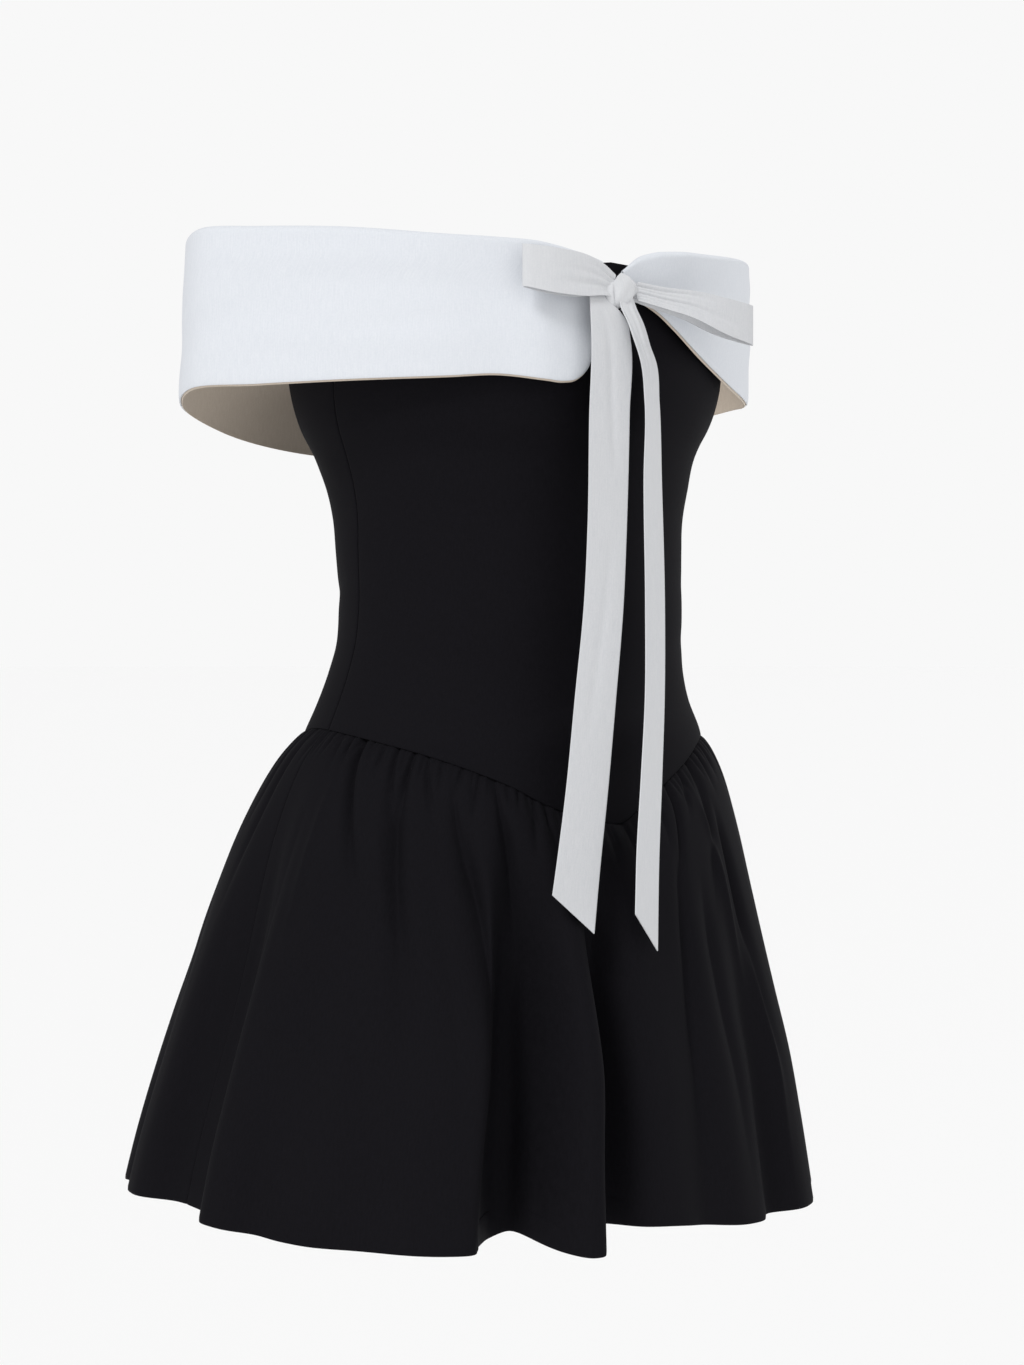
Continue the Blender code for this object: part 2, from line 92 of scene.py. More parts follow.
softRim = {"width": 0.3, "segments": 2, "angle": 60.0}     # share of the wall, and degrees


def makeCloth(name, columns, rows, place, cloth, finish):
    # place gets every grid point's share across and up the piece, and gives back all the points
    grid = bmesh.new()
    bmesh.ops.create_grid(grid, x_segments=columns, y_segments=rows, size=0.5)
    across = np.array([vert.co.x for vert in grid.verts]) + 0.5
    up = np.array([vert.co.y for vert in grid.verts]) + 0.5
    for vert, point in zip(grid.verts, place(across, up)):
        vert.co = point
    mesh = bpy.data.meshes.new(name)
    grid.to_mesh(mesh)
    grid.free()
    corners = np.zeros(len(mesh.loops), int)
    mesh.loops.foreach_get("vertex_index", corners)
    weave = mesh.uv_layers.new(name="weave")  # metres of cloth, so that the grain follows the piece
    flat = np.column_stack([across * cloth["flat"][0], up * cloth["flat"][1]])
    weave.data.foreach_set("uv", flat[corners].ravel())
    mesh.shade_smooth()
    mesh.materials.append(finish)
    piece = bpy.data.objects.new(name, mesh)
    bpy.context.scene.collection.objects.link(piece)
    wall = piece.modifiers.new("Cloth wall", "SOLIDIFY")
    wall.thickness = cloth["wall"] * mm
    wall.offset = cloth["side"]
    softEdge = piece.modifiers.new("Soft edge", "BEVEL")
    softEdge.width = cloth["wall"] * mm * softRim["width"]
    softEdge.segments = softRim["segments"]
    softEdge.limit_method = "ANGLE"
    softEdge.angle_limit = math.radians(softRim["angle"])
    return piece


def seat(piece, node):
    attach(piece, "root")
    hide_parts(node)


# Finishes

def linear(hexColour):
    channels = [int(hexColour[k:k + 2], 16) / 255 for k in (0, 2, 4)]
    return tuple(c / 12.92 if c <= 0.04045 else ((c + 0.055) / 1.055) ** 2.4 for c in channels) + (1.0,)


def addNode(tree, kind, inputs=None, **settings):
    node = tree.nodes.new(kind)
    for key, value in settings.items():
        setattr(node, key, value)
    for socket, value in (inputs or {}).items():
        if isinstance(value, bpy.types.NodeSocket):
            tree.links.new(value, node.inputs[socket])
        else:
            node.inputs[socket].default_value = value
    return node


middleOfNoise = {"From Min": 0.35, "From Max": 0.65}     # where most of a noise's values lie


def makeWovenFinish(name, look):
    # grain bumps and lightens the cloth a little; threads run along the piece's own map in metres
    material = bpy.data.materials.new(name)
    material.use_nodes = True
    tree = material.node_tree
    shader = tree.nodes["Principled BSDF"]
    weaveMap = addNode(tree, "ShaderNodeUVMap", uv_map="weave")
    place = addNode(tree, "ShaderNodeTexCoord")
    grain = addNode(tree, "ShaderNodeTexNoise", {
        "Vector": place.outputs["Object"], "Scale": 1 / (look["grain"] * mm), "Detail": 3.0,
        "Roughness": 0.6})
    threads = addNode(tree, "ShaderNodeMapping", {
        "Vector": weaveMap.outputs["UV"],
        "Scale": (1 / (look["thread"] * mm), 1 / (look["slub"] * mm), 1.0)})
    slubs = addNode(tree, "ShaderNodeTexNoise", {
        "Vector": threads.outputs["Vector"], "Scale": 1.0, "Detail": 2.0, "Roughness": 0.5})
    cloud = addNode(tree, "ShaderNodeTexNoise", {
        "Vector": place.outputs["Object"], "Scale": 1 / (look["cloud"] * cm), "Detail": 2.0})
    mixed = addNode(tree, "ShaderNodeMath", {0: grain.outputs["Fac"], 1: slubs.outputs["Fac"]},
                    operation="ADD")
    half = addNode(tree, "ShaderNodeMath", {0: mixed.outputs[0], 1: 0.5}, operation="MULTIPLY")
    fibre = addNode(tree, "ShaderNodeMapRange", {
        "Value": half.outputs[0], **middleOfNoise})
    colour = addNode(tree, "ShaderNodeMix", {
        0: fibre.outputs[0], 6: linear(look["deep"]), 7: linear(look["light"])}, data_type="RGBA")
    faded = addNode(tree, "ShaderNodeMix", {
        0: cloud.outputs["Fac"], 6: colour.outputs[2], 7: linear(look["faded"])}, data_type="RGBA")
    share = addNode(tree, "ShaderNodeMix", {
        0: look["fading"], 6: colour.outputs[2], 7: faded.outputs[2]}, data_type="RGBA")
    rough = addNode(tree, "ShaderNodeMapRange", {
        "Value": half.outputs[0], **middleOfNoise,
        "To Min": look["rough"][0], "To Max": look["rough"][1]})
    bump = addNode(tree, "ShaderNodeBump", {
        "Height": half.outputs[0], "Distance": look["bump"] * mm, "Strength": look["bumpStrength"]})
    tree.links.new(share.outputs[2], shader.inputs["Base Color"])
    tree.links.new(rough.outputs[0], shader.inputs["Roughness"])
    tree.links.new(bump.outputs["Normal"], shader.inputs["Normal"])
    shader.inputs["Metallic"].default_value = 0.0
    shader.inputs["IOR"].default_value = look["ior"]
    shader.inputs["Specular IOR Level"].default_value = look["specular"]
    shader.inputs["Sheen Weight"].default_value = look["sheen"]
    shader.inputs["Sheen Roughness"].default_value = look["sheenRough"]
    shader.inputs["Sheen Tint"].default_value = linear(look["sheenTint"])
    return material


# Black polyester crepe, woven from hard-twisted yarn: matte and deep, with a fine pebbled grain
# and hardly any gloss. Real grain is about 0.5 mm and is drawn at three times that, so it shows.
blackCrepeLook = {
    "grain": 1.5, "thread": 1.0, "slub": 6.0, "cloud": 9.0,       # mm, mm, mm, cm
    "deep": "0C0B0F", "light": "131216", "faded": "151418", "fading": 0.35,
    "rough": (0.8, 0.92), "ior": 1.5, "specular": 0.08, "bump": 0.22, "bumpStrength": 0.5,
    "sheen": 0.006, "sheenRough": 0.45, "sheenTint": "9A9AA8",
}
# White crepe of the collar, the same weave in a cool white: it scatters light, with soft shadows.
whiteCrepeLook = {
    "grain": 1.3, "thread": 0.9, "slub": 7.0, "cloud": 7.0,
    "deep": "D7DBE1", "light": "E1E4E9", "faded": "DDE0E6", "fading": 0.5,
    "rough": (0.72, 0.86), "ior": 1.5, "specular": 0.2, "bump": 0.12, "bumpStrength": 0.35,
    "sheen": 0.03, "sheenRough": 0.5, "sheenTint": "FFFFFF",
}
# Cream facing under the collar: plain woven lining, warmer and smoother, seen along the edges.
creamLiningLook = {
    "grain": 1.0, "thread": 0.8, "slub": 8.0, "cloud": 5.0,
    "deep": "C9BBAB", "light": "D6CABC", "faded": "D1C4B5", "fading": 0.4,
    "rough": (0.6, 0.75), "ior": 1.5, "specular": 0.25, "bump": 0.08, "bumpStrength": 0.3,
    "sheen": 0.02, "sheenRough": 0.4, "sheenTint": "FFF4E6",
}
# Off-white ribbon, cut from soft crepe satin: a shade greyer than the collar, with a low sheen.
ribbonLook = {
    "grain": 1.1, "thread": 0.8, "slub": 10.0, "cloud": 6.0,
    "deep": "CDCFD3", "light": "D8D9DC", "faded": "D3D4D5", "fading": 0.5,
    "rough": (0.55, 0.7), "ior": 1.5, "specular": 0.3, "bump": 0.1, "bumpStrength": 0.3,
    "sheen": 0.04, "sheenRough": 0.4, "sheenTint": "FFFFFF",
}
blackCrepe = makeWovenFinish("blackCrepe", blackCrepeLook)
whiteCrepe = makeWovenFinish("whiteCrepe", whiteCrepeLook)
creamLining = makeWovenFinish("creamLining", creamLiningLook)
offWhiteRibbon = makeWovenFinish("offWhiteRibbon", ribbonLook)
print("finishes made")


# The form that the cloth follows, the same as in the model's source (cm, degrees).
# Angles run round the body from 0 at the centre front towards the garment's left.
form = {
    # height, half width, half depth, centre y
    "rings": [
        (-41.0, 23.1, 19.6, 4.8), (-34.5, 21.8, 18.4, 4.3), (-30.5, 20.8, 17.7, 3.9),
        (-26.5, 19.7, 16.7, 3.6), (-19.0, 17.6, 14.8, 2.9), (-16.5, 16.85, 14.1, 2.6),
        (-10.5, 14.75, 12.0, 1.5), (-8.5, 14.1, 11.3, 0.95), (-6.3, 13.2, 10.4, 0.8),
        (-4.3, 12.65, 9.8, 0.5), (-2.3, 12.4, 9.4, 0.1), (-0.3, 12.3, 9.4, 0.0),
        (3.7, 12.4, 9.5, 0.2), (5.7, 12.5, 9.7, 0.3), (7.7, 12.9, 10.1, 0.4),
        (9.7, 13.5, 10.8, 0.75), (11.7, 14.5, 11.6, 0.7), (14.5, 15.3, 12.2, 0.6),
        (18.0, 15.3, 12.0, 0.6), (23.0, 15.0, 11.6, 0.6),
    ],
    # angle from the front either way, height of the bodice's top edge
    "top": [
        (0.0, 21.95), (25.0, 21.3), (45.0, 20.2), (60.0, 18.2), (78.0, 15.4), (95.0, 14.6),
        (120.0, 15.6), (145.0, 17.3), (180.0, 18.0),
    ],
    # angle, height of the seam between bodice and skirt
    "seam": [
        (-180.0, -9.3), (-120.0, -8.4), (-95.0, -8.05), (-79.0, -8.35), (-65.0, -8.85),
        (-51.0, -9.55), (-37.0, -10.55), (-26.0, -11.6), (-15.0, -13.0), (-4.0, -13.8),
        (3.0, -14.1), (9.0, -13.3), (19.0, -11.9), (35.0, -10.2), (45.0, -9.3),
        (78.0, -8.9), (120.0, -9.1), (180.0, -9.3),
    ],
    "sideSeam": 90.0,        # at the waist seam and down the skirt
    "seamForward": 11.0,     # the bodice's side seam comes forward by this much to its top
    "seamGap": 0.25,         # mm between two sewn edges
    "endColumn": 0.4999,     # further than this from a panel's middle is its end column
}


def bodyRing(height):
    halfWidth, halfDepth, centreY = readTable(form["rings"], height / cm)
    return halfWidth * cm, halfDepth * cm, centreY * cm


def bodyPoints(degrees, height, standOff):
    halfWidth, halfDepth, centreY = bodyRing(height)
    angle = np.radians(degrees)
    return np.column_stack([
        (halfWidth + standOff) * np.sin(angle),
        centreY - (halfDepth + standOff) * np.cos(angle),
        height,
    ])


def seamHeight(degrees):
    return readTable(form["seam"], wrapDegrees(degrees))[0] * cm


def bringForward(degrees, share):
    # moves angles so that a side seam comes forward as the share of the height grows
    forward = form["seamForward"] * share * share
    sideSeam = form["sideSeam"]
    fromBack = (180.0 - np.abs(degrees)) / (180.0 - sideSeam)
    return np.where(np.abs(degrees) <= sideSeam, degrees * (1.0 - forward / sideSeam),
                    np.copysign(np.abs(degrees) - forward * fromBack, degrees))


def seamTrim(across, radius):
    # degrees that a panel's two end columns draw back, for the gap at a side seam
    atEnd = np.abs(across - 0.5) > form["endColumn"]
    return np.degrees(form["seamGap"] / 2 * mm / radius) * (1.0 - 2.0 * across) * atEnd


def dip(distance, depth, width):
    # how far cloth sinks in beside a seam or an edge, all in mm but the distance
    return depth * mm * np.exp(-distance / (width * mm))


def crowdEnds(share, amount):
    # crowds columns towards both ends, where the seams need finer cloth
    return share * (1 - amount) + amount * (0.5 - 0.5 * np.cos(math.pi * share))


# Bodice

bodice = {
    "wall": 1.2, "side": -1.0,
    "flat": {"bodice_front": (0.42, 0.40), "bodice_back_left": (0.24, 0.30),
             "bodice_back_right": (0.24, 0.30)},
    "area": {"bodice_front": 0.125, "bodice_back_left": 0.055, "bodice_back_right": 0.055},
    "columnsPerPanel": {"bodice_front": 130, "bodice_back_left": 76, "bodice_back_right": 76},
    "rows": 110,
    "columnCrowding": 0.7, "rowCrowding": 0.5,     # of each panel's grid, towards its edges
    "seamDip": 0.7, "seamDipWidth": 1.0,      # mm: each panel rolls in towards its seams
    "hemDip": 0.2, "hemDipWidth": 1.2,
    "meanRadius": 13.2,                       # cm, to turn degrees into cloth
    # soft creases: degrees and height at both ends, half width and depth in mm
    "creases": [
        (-62, 12.6, -30, 15.2, 9.0, 0.8), (-70, 9.2, -42, 10.8, 8.0, 0.6),
        (-78, 1.6, -58, 0.4, 6.0, 0.55), (-80, -1.2, -50, -3.4, 7.0, 0.6),
        (-82, 4.0, -66, 3.6, 5.0, 0.4), (-76, -5.2, -44, -8.0, 9.0, -0.7),
        (20, 0.6, 62, 1.4, 7.0, 0.6), (36, -3.2, 76, -1.8, 8.0, 0.7),
        (44, 12.0, 72, 10.0, 9.0, 0.8), (60, 4.6, 80, 5.4, 5.0, 0.4),
        (-18, -6.4, 14, -5.6, 11.0, 0.5), (-30, 3.4, 2, 4.6, 12.0, -0.4),
        (104, 1.2, 140, -0.4, 7.0, 0.9), (112, -3.6, 158, -5.0, 8.0, 0.9),
        (128, 3.6, 172, 2.2, 7.5, -0.7), (98, 8.4, 126, 11.0, 9.0, 0.7),
        (-140, -0.6, -102, 1.6, 7.0, 0.9), (-162, -4.4, -116, -2.8, 8.5, 0.8),
        (-170, 2.8, -132, 4.2, 7.5, -0.6), (-128, 10.6, -100, 8.2, 9.0, 0.7),
        (-176, 9.0, -150, 13.0, 10.0, 0.6), (152, 12.4, 176, 8.2, 10.0, 0.6),
    ],
}


def makeBodicePanel(name, node, start, end):
    columns = bodice["columnsPerPanel"][node]

    def place(across, up):
        atSeam = start + (end - start) * crowdEnds(across, bodice["columnCrowding"])
        share = crowdEnds(up, bodice["rowCrowding"])
        degrees = bringForward(atSeam, share)
        low = seamHeight(atSeam) + form["seamGap"] / 2 * mm
        high = readTable(form["top"], np.abs(bringForward(atSeam, 1.0)))[0] * cm
        height = low + (high - low) * share
        around = degrees * math.radians(1) * bodice["meanRadius"] * cm
        relief = np.zeros(len(degrees))
        for a0, h0, a1, h1, halfWidth, depth in bodice["creases"]:
            ends = [(a * math.radians(1) * bodice["meanRadius"] * cm, h * cm)
                    for a, h in ((a0, h0), (a1, h1))]
            relief += crease(around, height, ends[0], ends[1], halfWidth * mm, depth * mm)
        radius = bodyRing(height)[0]
        toSeam = np.minimum(atSeam - start, end - atSeam) * math.radians(1) * radius
        relief -= dip(toSeam, bodice["seamDip"], bodice["seamDipWidth"])
        relief -= dip(height - low, bodice["hemDip"], bodice["hemDipWidth"])
        return bodyPoints(degrees + seamTrim(across, radius), height, relief)

    look = {**bodice, "flat": bodice["flat"][node]}
    return makeCloth(name, columns, bodice["rows"], place, look, blackCrepe)


sideSeam = form["sideSeam"]
bodicePanels = {
    "bodice_front": makeBodicePanel("bodiceFrontCloth", "bodice_front", -sideSeam, sideSeam),
    "bodice_back_left": makeBodicePanel("bodiceBackLeftCloth", "bodice_back_left", sideSeam, 180.0),
    "bodice_back_right": makeBodicePanel("bodiceBackRightCloth", "bodice_back_right", -180.0, -sideSeam),
}
for node, piece in bodicePanels.items():
    seat(piece, node)
print("bodice made")


# Skirt

skirt = {
    "wall": 0.9, "side": -1.0,
    "flat": {"skirt_front": (0.68, 0.335), "skirt_back": (0.77, 0.335)},
    "area": {"skirt_front": 0.205, "skirt_back": 0.232},
    "columnsPerPanel": {"skirt_front": 530, "skirt_back": 500},
    "rows": 82,
    "rowCrowding": 1.45,     # above one, rows crowd towards the gathers
    "mainShare": 0.93,       # rows above the hem's fold
    "hemRadius": 1.2,        # mm, the hem turns round this
    "hemTurn": 0.45,         # share of the hem's rows that turn; the rest run up inside
    "hemDepth": 1.6,         # cm, turned up inside
    # angle, height at the hem (cm)
    "hem": [
        (-180.0, -39.4), (-140.0, -38.8), (-105.0, -38.2), (-78.0, -38.9), (-55.0, -39.9),
        (-34.0, -40.1), (-26.5, -39.9), (-20.6, -39.7), (-18.6, -40.3), (-15.0, -40.5),
        (-9.0, -39.5), (0.0, -39.4), (20.0, -40.1), (50.0, -39.9), (90.0, -39.8),
        (135.0, -39.6), (180.0, -39.4),
    ],
    # deep folds at the hem: angle, height (cm, negative for a valley), spread towards the right
    # and the left (degrees), lean of the crest towards the left (degrees)
    "flutes": [
        (-166.0, 1.9, 9.0, 9.0, 0.0), (-145.0, 1.8, 9.0, 9.0, 1.5), (-134.0, -1.6, 4.0, 4.0, 0.0),
        (-124.0, 2.1, 10.0, 9.0, 0.0), (-103.0, 2.2, 9.0, 8.0, 0.0), (-75.0, 2.3, 6.0, 8.0, 0.0),
        (-60.0, 1.6, 7.0, 8.0, 0.0), (-38.4, 2.6, 14.0, 7.0, 5.5), (-24.0, -2.6, 4.5, 4.5, 0.0),
        (-15.9, 3.3, 3.6, 4.6, 3.5), (-7.5, -1.6, 4.0, 4.5, 0.0), (4.0, 1.2, 6.0, 8.0, 0.0),
        (22.0, 1.6, 8.0, 8.0, 0.0), (43.0, 2.3, 9.0, 8.0, -2.0), (64.0, 1.9, 8.0, 8.0, 0.0),
        (85.0, 1.9, 8.0, 8.0, 0.0), (106.0, 2.0, 8.0, 9.0, -2.0), (117.5, -1.8, 4.0, 4.5, 0.0),
        (129.0, 2.1, 9.0, 9.0, 2.0), (151.0, 1.9, 8.0, 9.0, 0.0), (162.0, -1.4, 4.0, 4.0, 0.0),
        (173.0, 1.8, 8.0, 8.0, 0.0),
    ],
    "fluteLevel": 1.5, "flutePower": 3.0, "fluteFull": 0.62,
    "hemHalfWidth": 22.8,                     # cm: above the hem a fold keeps its width in cloth
    "puff": 1.2, "puffLength": 1.5,           # cm: the gathered cloth stands out below the seam
    "gatherSeat": 0.8,                        # mm, as in the model
    "seamDip": 0.8, "seamDipWidth": 0.8,      # mm: the gathers dive under the bodice's edge
    # folds that hang from the seam, listed one by one: angle at the seam, angle at the end,
    # where it begins and ends below the seam (cm), depth (mm), half width (mm)
    "folds": [
        (-88.4, -87.8, -1.0, 2.0, 1.8, 1.5), (-84.6, -82.6, -1.0, 1.8, 1.8, 1.5),
        (-80.5, -76.2, -1.0, 2.4, 2.6, 1.6), (-76.3, -72.2, -1.0, 2.8, 2.6, 1.6),
        (-71.8, -56.5, -1.0, 11.0, 7.0, 2.8), (-67.4, -63.8, -1.0, 2.2, 1.6, 1.4),
        (-63.4, -61.3, -1.0, 2.4, 1.8, 1.5), (-59.0, -53.0, -1.0, 5.8, 3.8, 1.9),
        (-56.4, -54.8, -1.0, 1.6, 1.6, 1.2), (-53.7, -52.0, -1.0, 5.0, 4.4, 1.9),
        (-49.3, -43.0, -1.0, 4.6, 3.4, 1.8), (-44.8, -43.5, -1.0, 2.4, 2.0, 1.4),
        (-39.2, -40.2, -1.0, 2.4, 2.6, 1.6), (-34.2, -35.6, -1.0, 3.8, 2.8, 1.9),
        (-32.0, -31.8, -1.0, 1.6, 1.8, 1.3), (-30.4, -24.5, -1.0, 6.6, 3.6, 2.0),
        (-27.2, -26.6, -1.0, 1.5, 1.8, 1.3), (-24.2, -24.0, -1.0, 1.7, 1.8, 1.3),
        (-22.0, -21.4, -1.0, 1.8, 1.8, 1.4), (-20.4, -20.2, -1.0, 4.8, 2.8, 2.0),
        (-17.6, -15.2, -1.0, 3.6, 2.6, 1.7), (-13.4, -12.6, -1.0, 3.8, 2.4, 1.7),
        (-9.4, -7.8, -1.0, 6.0, 2.6, 2.0), (-5.6, -5.2, -1.0, 2.2, 1.8, 1.5),
        (-1.8, -1.0, -1.0, 3.4, 2.4, 1.7), (3.4, 5.0, -1.0, 3.6, 2.4, 1.7),
        (9.2, 9.0, -1.0, 3.0, 2.2, 1.6), (14.6, 13.4, -1.0, 3.4, 2.2, 1.7),
        (20.8, 13.5, -1.0, 7.0, 3.6, 1.9), (28.0, 21.5, -1.0, 3.0, 2.6, 1.8),
        (34.0, 28.5, -1.0, 2.6, 2.4, 1.7), (40.4, 39.0, -1.0, 3.0, 2.2, 1.7),
        (46.0, 44.0, -1.0, 2.6, 2.4, 1.9), (52.2, 54.0, -1.0, 4.4, 2.6, 2.0),
        (58.0, 58.6, -1.0, 2.8, 2.0, 1.6), (63.4, 66.0, -1.0, 5.4, 2.6, 1.9),
        (69.6, 74.4, -1.0, 9.0, 3.2, 2.4), (76.8, 77.0, -1.0, 3.2, 2.2, 1.6),
        (82.4, 83.0, -1.0, 2.4, 1.8, 1.5), (87.0, 88.0, -1.0, 4.0, 2.4, 1.8),
        # long valleys and ridges that run on below the gathers
        (-41.5, -34.0, 0.8, 11.0, 3.6, 2.4), (-54.7, -47.5, 1.0, 21.0, 8.0, 4.6),
        (-38.6, -26.4, 1.2, 31.0, 11.0, 7.5), (-28.8, -20.6, 0.8, 13.0, 6.0, 4.4),
        (-60.8, -45.0, 1.5, 20.0, -1.8, 3.6), (-73.6, -72.8, 1.5, 15.0, -2.0, 3.2),
        (-64.6, -47.0, 7.0, 32.0, 2.0, 5.5), (-78.8, -80.0, 3.0, 24.0, 2.0, 5.0),
        (-47.0, -36.0, 5.0, 30.0, 1.4, 5.0), (-7.0, -2.5, 0.8, 31.0, 7.0, 8.5),
        (15.5, 12.5, 2.5, 28.0, 5.5, 3.8), (34.0, 25.0, -0.5, 10.0, 3.4, 3.6),
        (27.6, 34.8, 1.0, 18.0, -3.0, 3.0), (34.4, 40.0, 2.0, 23.0, 5.0, 3.2),
        (37.0, 38.0, 9.0, 32.0, -3.2, 3.2), (21.0, 24.0, 5.0, 30.0, 3.6, 4.6),
        (56.0, 58.0, 3.0, 30.0, 2.4, 5.0),
        (72.0, 74.0, 7.0, 33.0, -1.8, 6.0), (-86.0, -92.0, 5.0, 31.0, -1.8, 6.0),
        # the hidden back, as uneven
        (92.6, 94.6, -1.0, 12.0, 3.0, 2.6),
        (99.0, 98.4, -1.0, 3.2, 1.6, 1.6), (104.6, 112.0, -1.0, 21.0, 3.8, 3.8),
        (111.4, 111.0, -1.0, 2.6, 1.4, 1.5), (117.2, 121.0, -1.0, 6.4, 2.2, 1.9),
        (124.0, 126.0, -1.0, 16.0, 3.4, 3.2), (130.6, 130.0, -1.0, 2.8, 1.5, 1.5),
        (136.4, 141.0, -1.0, 9.0, 2.6, 2.2), (142.8, 142.2, -1.0, 3.0, 1.7, 1.6),
        (149.0, 156.0, -1.0, 24.0, 4.0, 4.0), (156.2, 156.8, -1.0, 3.4, 1.6, 1.6),
        (162.0, 162.6, -1.0, 7.4, 2.2, 2.0), (168.4, 174.0, -1.0, 17.0, 3.4, 3.2),
        (174.0, 174.6, -1.0, 3.0, 1.6, 1.6), (180.6, 182.0, -1.0, 5.6, 2.1, 1.9),
        (187.0, 184.0, -1.0, 20.0, 3.8, 3.6), (193.0, 193.6, -1.0, 2.6, 1.4, 1.5),
        (199.4, 196.0, -1.0, 8.4, 2.4, 2.2), (205.0, 205.4, -1.0, 3.4, 1.7, 1.6),
        (211.0, 204.0, -1.0, 23.0, 4.0, 3.8), (218.6, 218.0, -1.0, 2.8, 1.5, 1.5),
        (224.2, 222.0, -1.0, 6.0, 2.1, 1.9), (231.0, 228.0, -1.0, 14.0, 3.2, 3.0),
        (237.2, 237.6, -1.0, 3.0, 1.6, 1.5), (243.0, 238.0, -1.0, 19.0, 3.6, 3.4),
        (249.6, 249.0, -1.0, 3.6, 1.7, 1.7), (255.4, 253.4, -1.0, 7.0, 2.3, 2.0),
        (261.8, 258.0, -1.0, 13.0, 3.0, 2.8), (268.0, 267.6, -1.0, 2.8, 1.5, 1.5),
        (272.4, 273.0, -1.0, 4.6, 2.0, 1.8),
        (98.0, 97.0, 8.0, 33.0, 2.0, 6.0), (118.0, 120.0, 8.0, 33.0, -1.8, 7.0),
        (139.0, 137.0, 9.0, 33.0, 2.0, 6.5), (160.0, 163.0, 7.0, 33.0, 1.8, 6.0),
        (180.0, 178.0, 9.0, 33.0, -1.7, 7.0), (201.0, 200.0, 8.0, 33.0, 2.0, 6.5),
        (222.0, 226.0, 10.0, 33.0, 1.6, 6.5), (244.0, 246.0, 8.0, 33.0, -1.8, 7.0),
        (263.0, 265.0, 9.0, 33.0, 1.8, 6.0),
    ],
    "foldShape": 1.5,        # under two, a trough is sharper than its shoulders
    "foldWidens": 0.7,
    "riseShare": 0.25, "startRise": 1.0,      # of its length, or cm where it starts at the seam
    "fadeFrom": 0.4,                          # share of its length
    "foldMargin": 6.0,                        # degrees past a panel's end that its folds come from
    # small gathers between them: pitch (degrees), length (cm), depth (mm), half width (mm)
    "smallPitch": (1.9, 3.4), "smallLength": (0.8, 2.3), "smallDepth": (0.7, 1.8),
    "smallWidth": (0.9, 1.3), "seed": 11,
    "smallFirst": 1.0, "smallDrift": 0.9,     # degrees from the panel's end, and to either side
    "smallBegins": -0.4,                      # cm
}


def hangingFold(degrees, down, radius, fold):
    top, bottom, begins, ends, depth, halfWidth = fold
    progress = np.clip(down / (ends * cm), 0.0, 1.0)
    away = (degrees - top - (bottom - top) * progress) * math.radians(1) * radius
    spread = halfWidth * mm * (1.0 + skirt["foldWidens"] * progress)
    length = (ends - begins) * cm
    quickest = skirt["startRise"] * cm if begins < 0 else length
    rises = ease((down - begins * cm) / min(skirt["riseShare"] * length, quickest))
    fadeFrom = skirt["fadeFrom"]
    fades = 1.0 - ease((down - begins * cm - fadeFrom * length) / ((1.0 - fadeFrom) * length))
    return -depth * mm * rises * fades * np.exp(-np.abs(away / spread) ** skirt["foldShape"])


def smallGathers(start, end):
    chance = np.random.default_rng(skirt["seed"] + int(end))
    gathers, degrees = [], start + skirt["smallFirst"]
    drift = skirt["smallDrift"]
    while degrees < end:
        gathers.append((degrees, degrees + chance.uniform(-drift, drift), skirt["smallBegins"],
                        chance.uniform(*skirt["smallLength"]), chance.uniform(*skirt["smallDepth"]),
                        chance.uniform(*skirt["smallWidth"])))
        degrees += chance.uniform(*skirt["smallPitch"])
    return gathers


def fluteForm(degrees, widening):
    out, lean = np.zeros(len(degrees)), np.zeros(len(degrees))
    for angle, height, spreadRight, spreadLeft, crestLean in skirt["flutes"]:
        away = wrapDegrees(degrees - angle)
        spread = np.where(away > 0, spreadLeft, spreadRight) * widening
        bump = np.exp(-(np.abs(away) / spread) ** skirt["flutePower"])
        out += height * cm * bump
        lean += crestLean * widening * bump
    return out - skirt["fluteLevel"] * cm * widening, lean


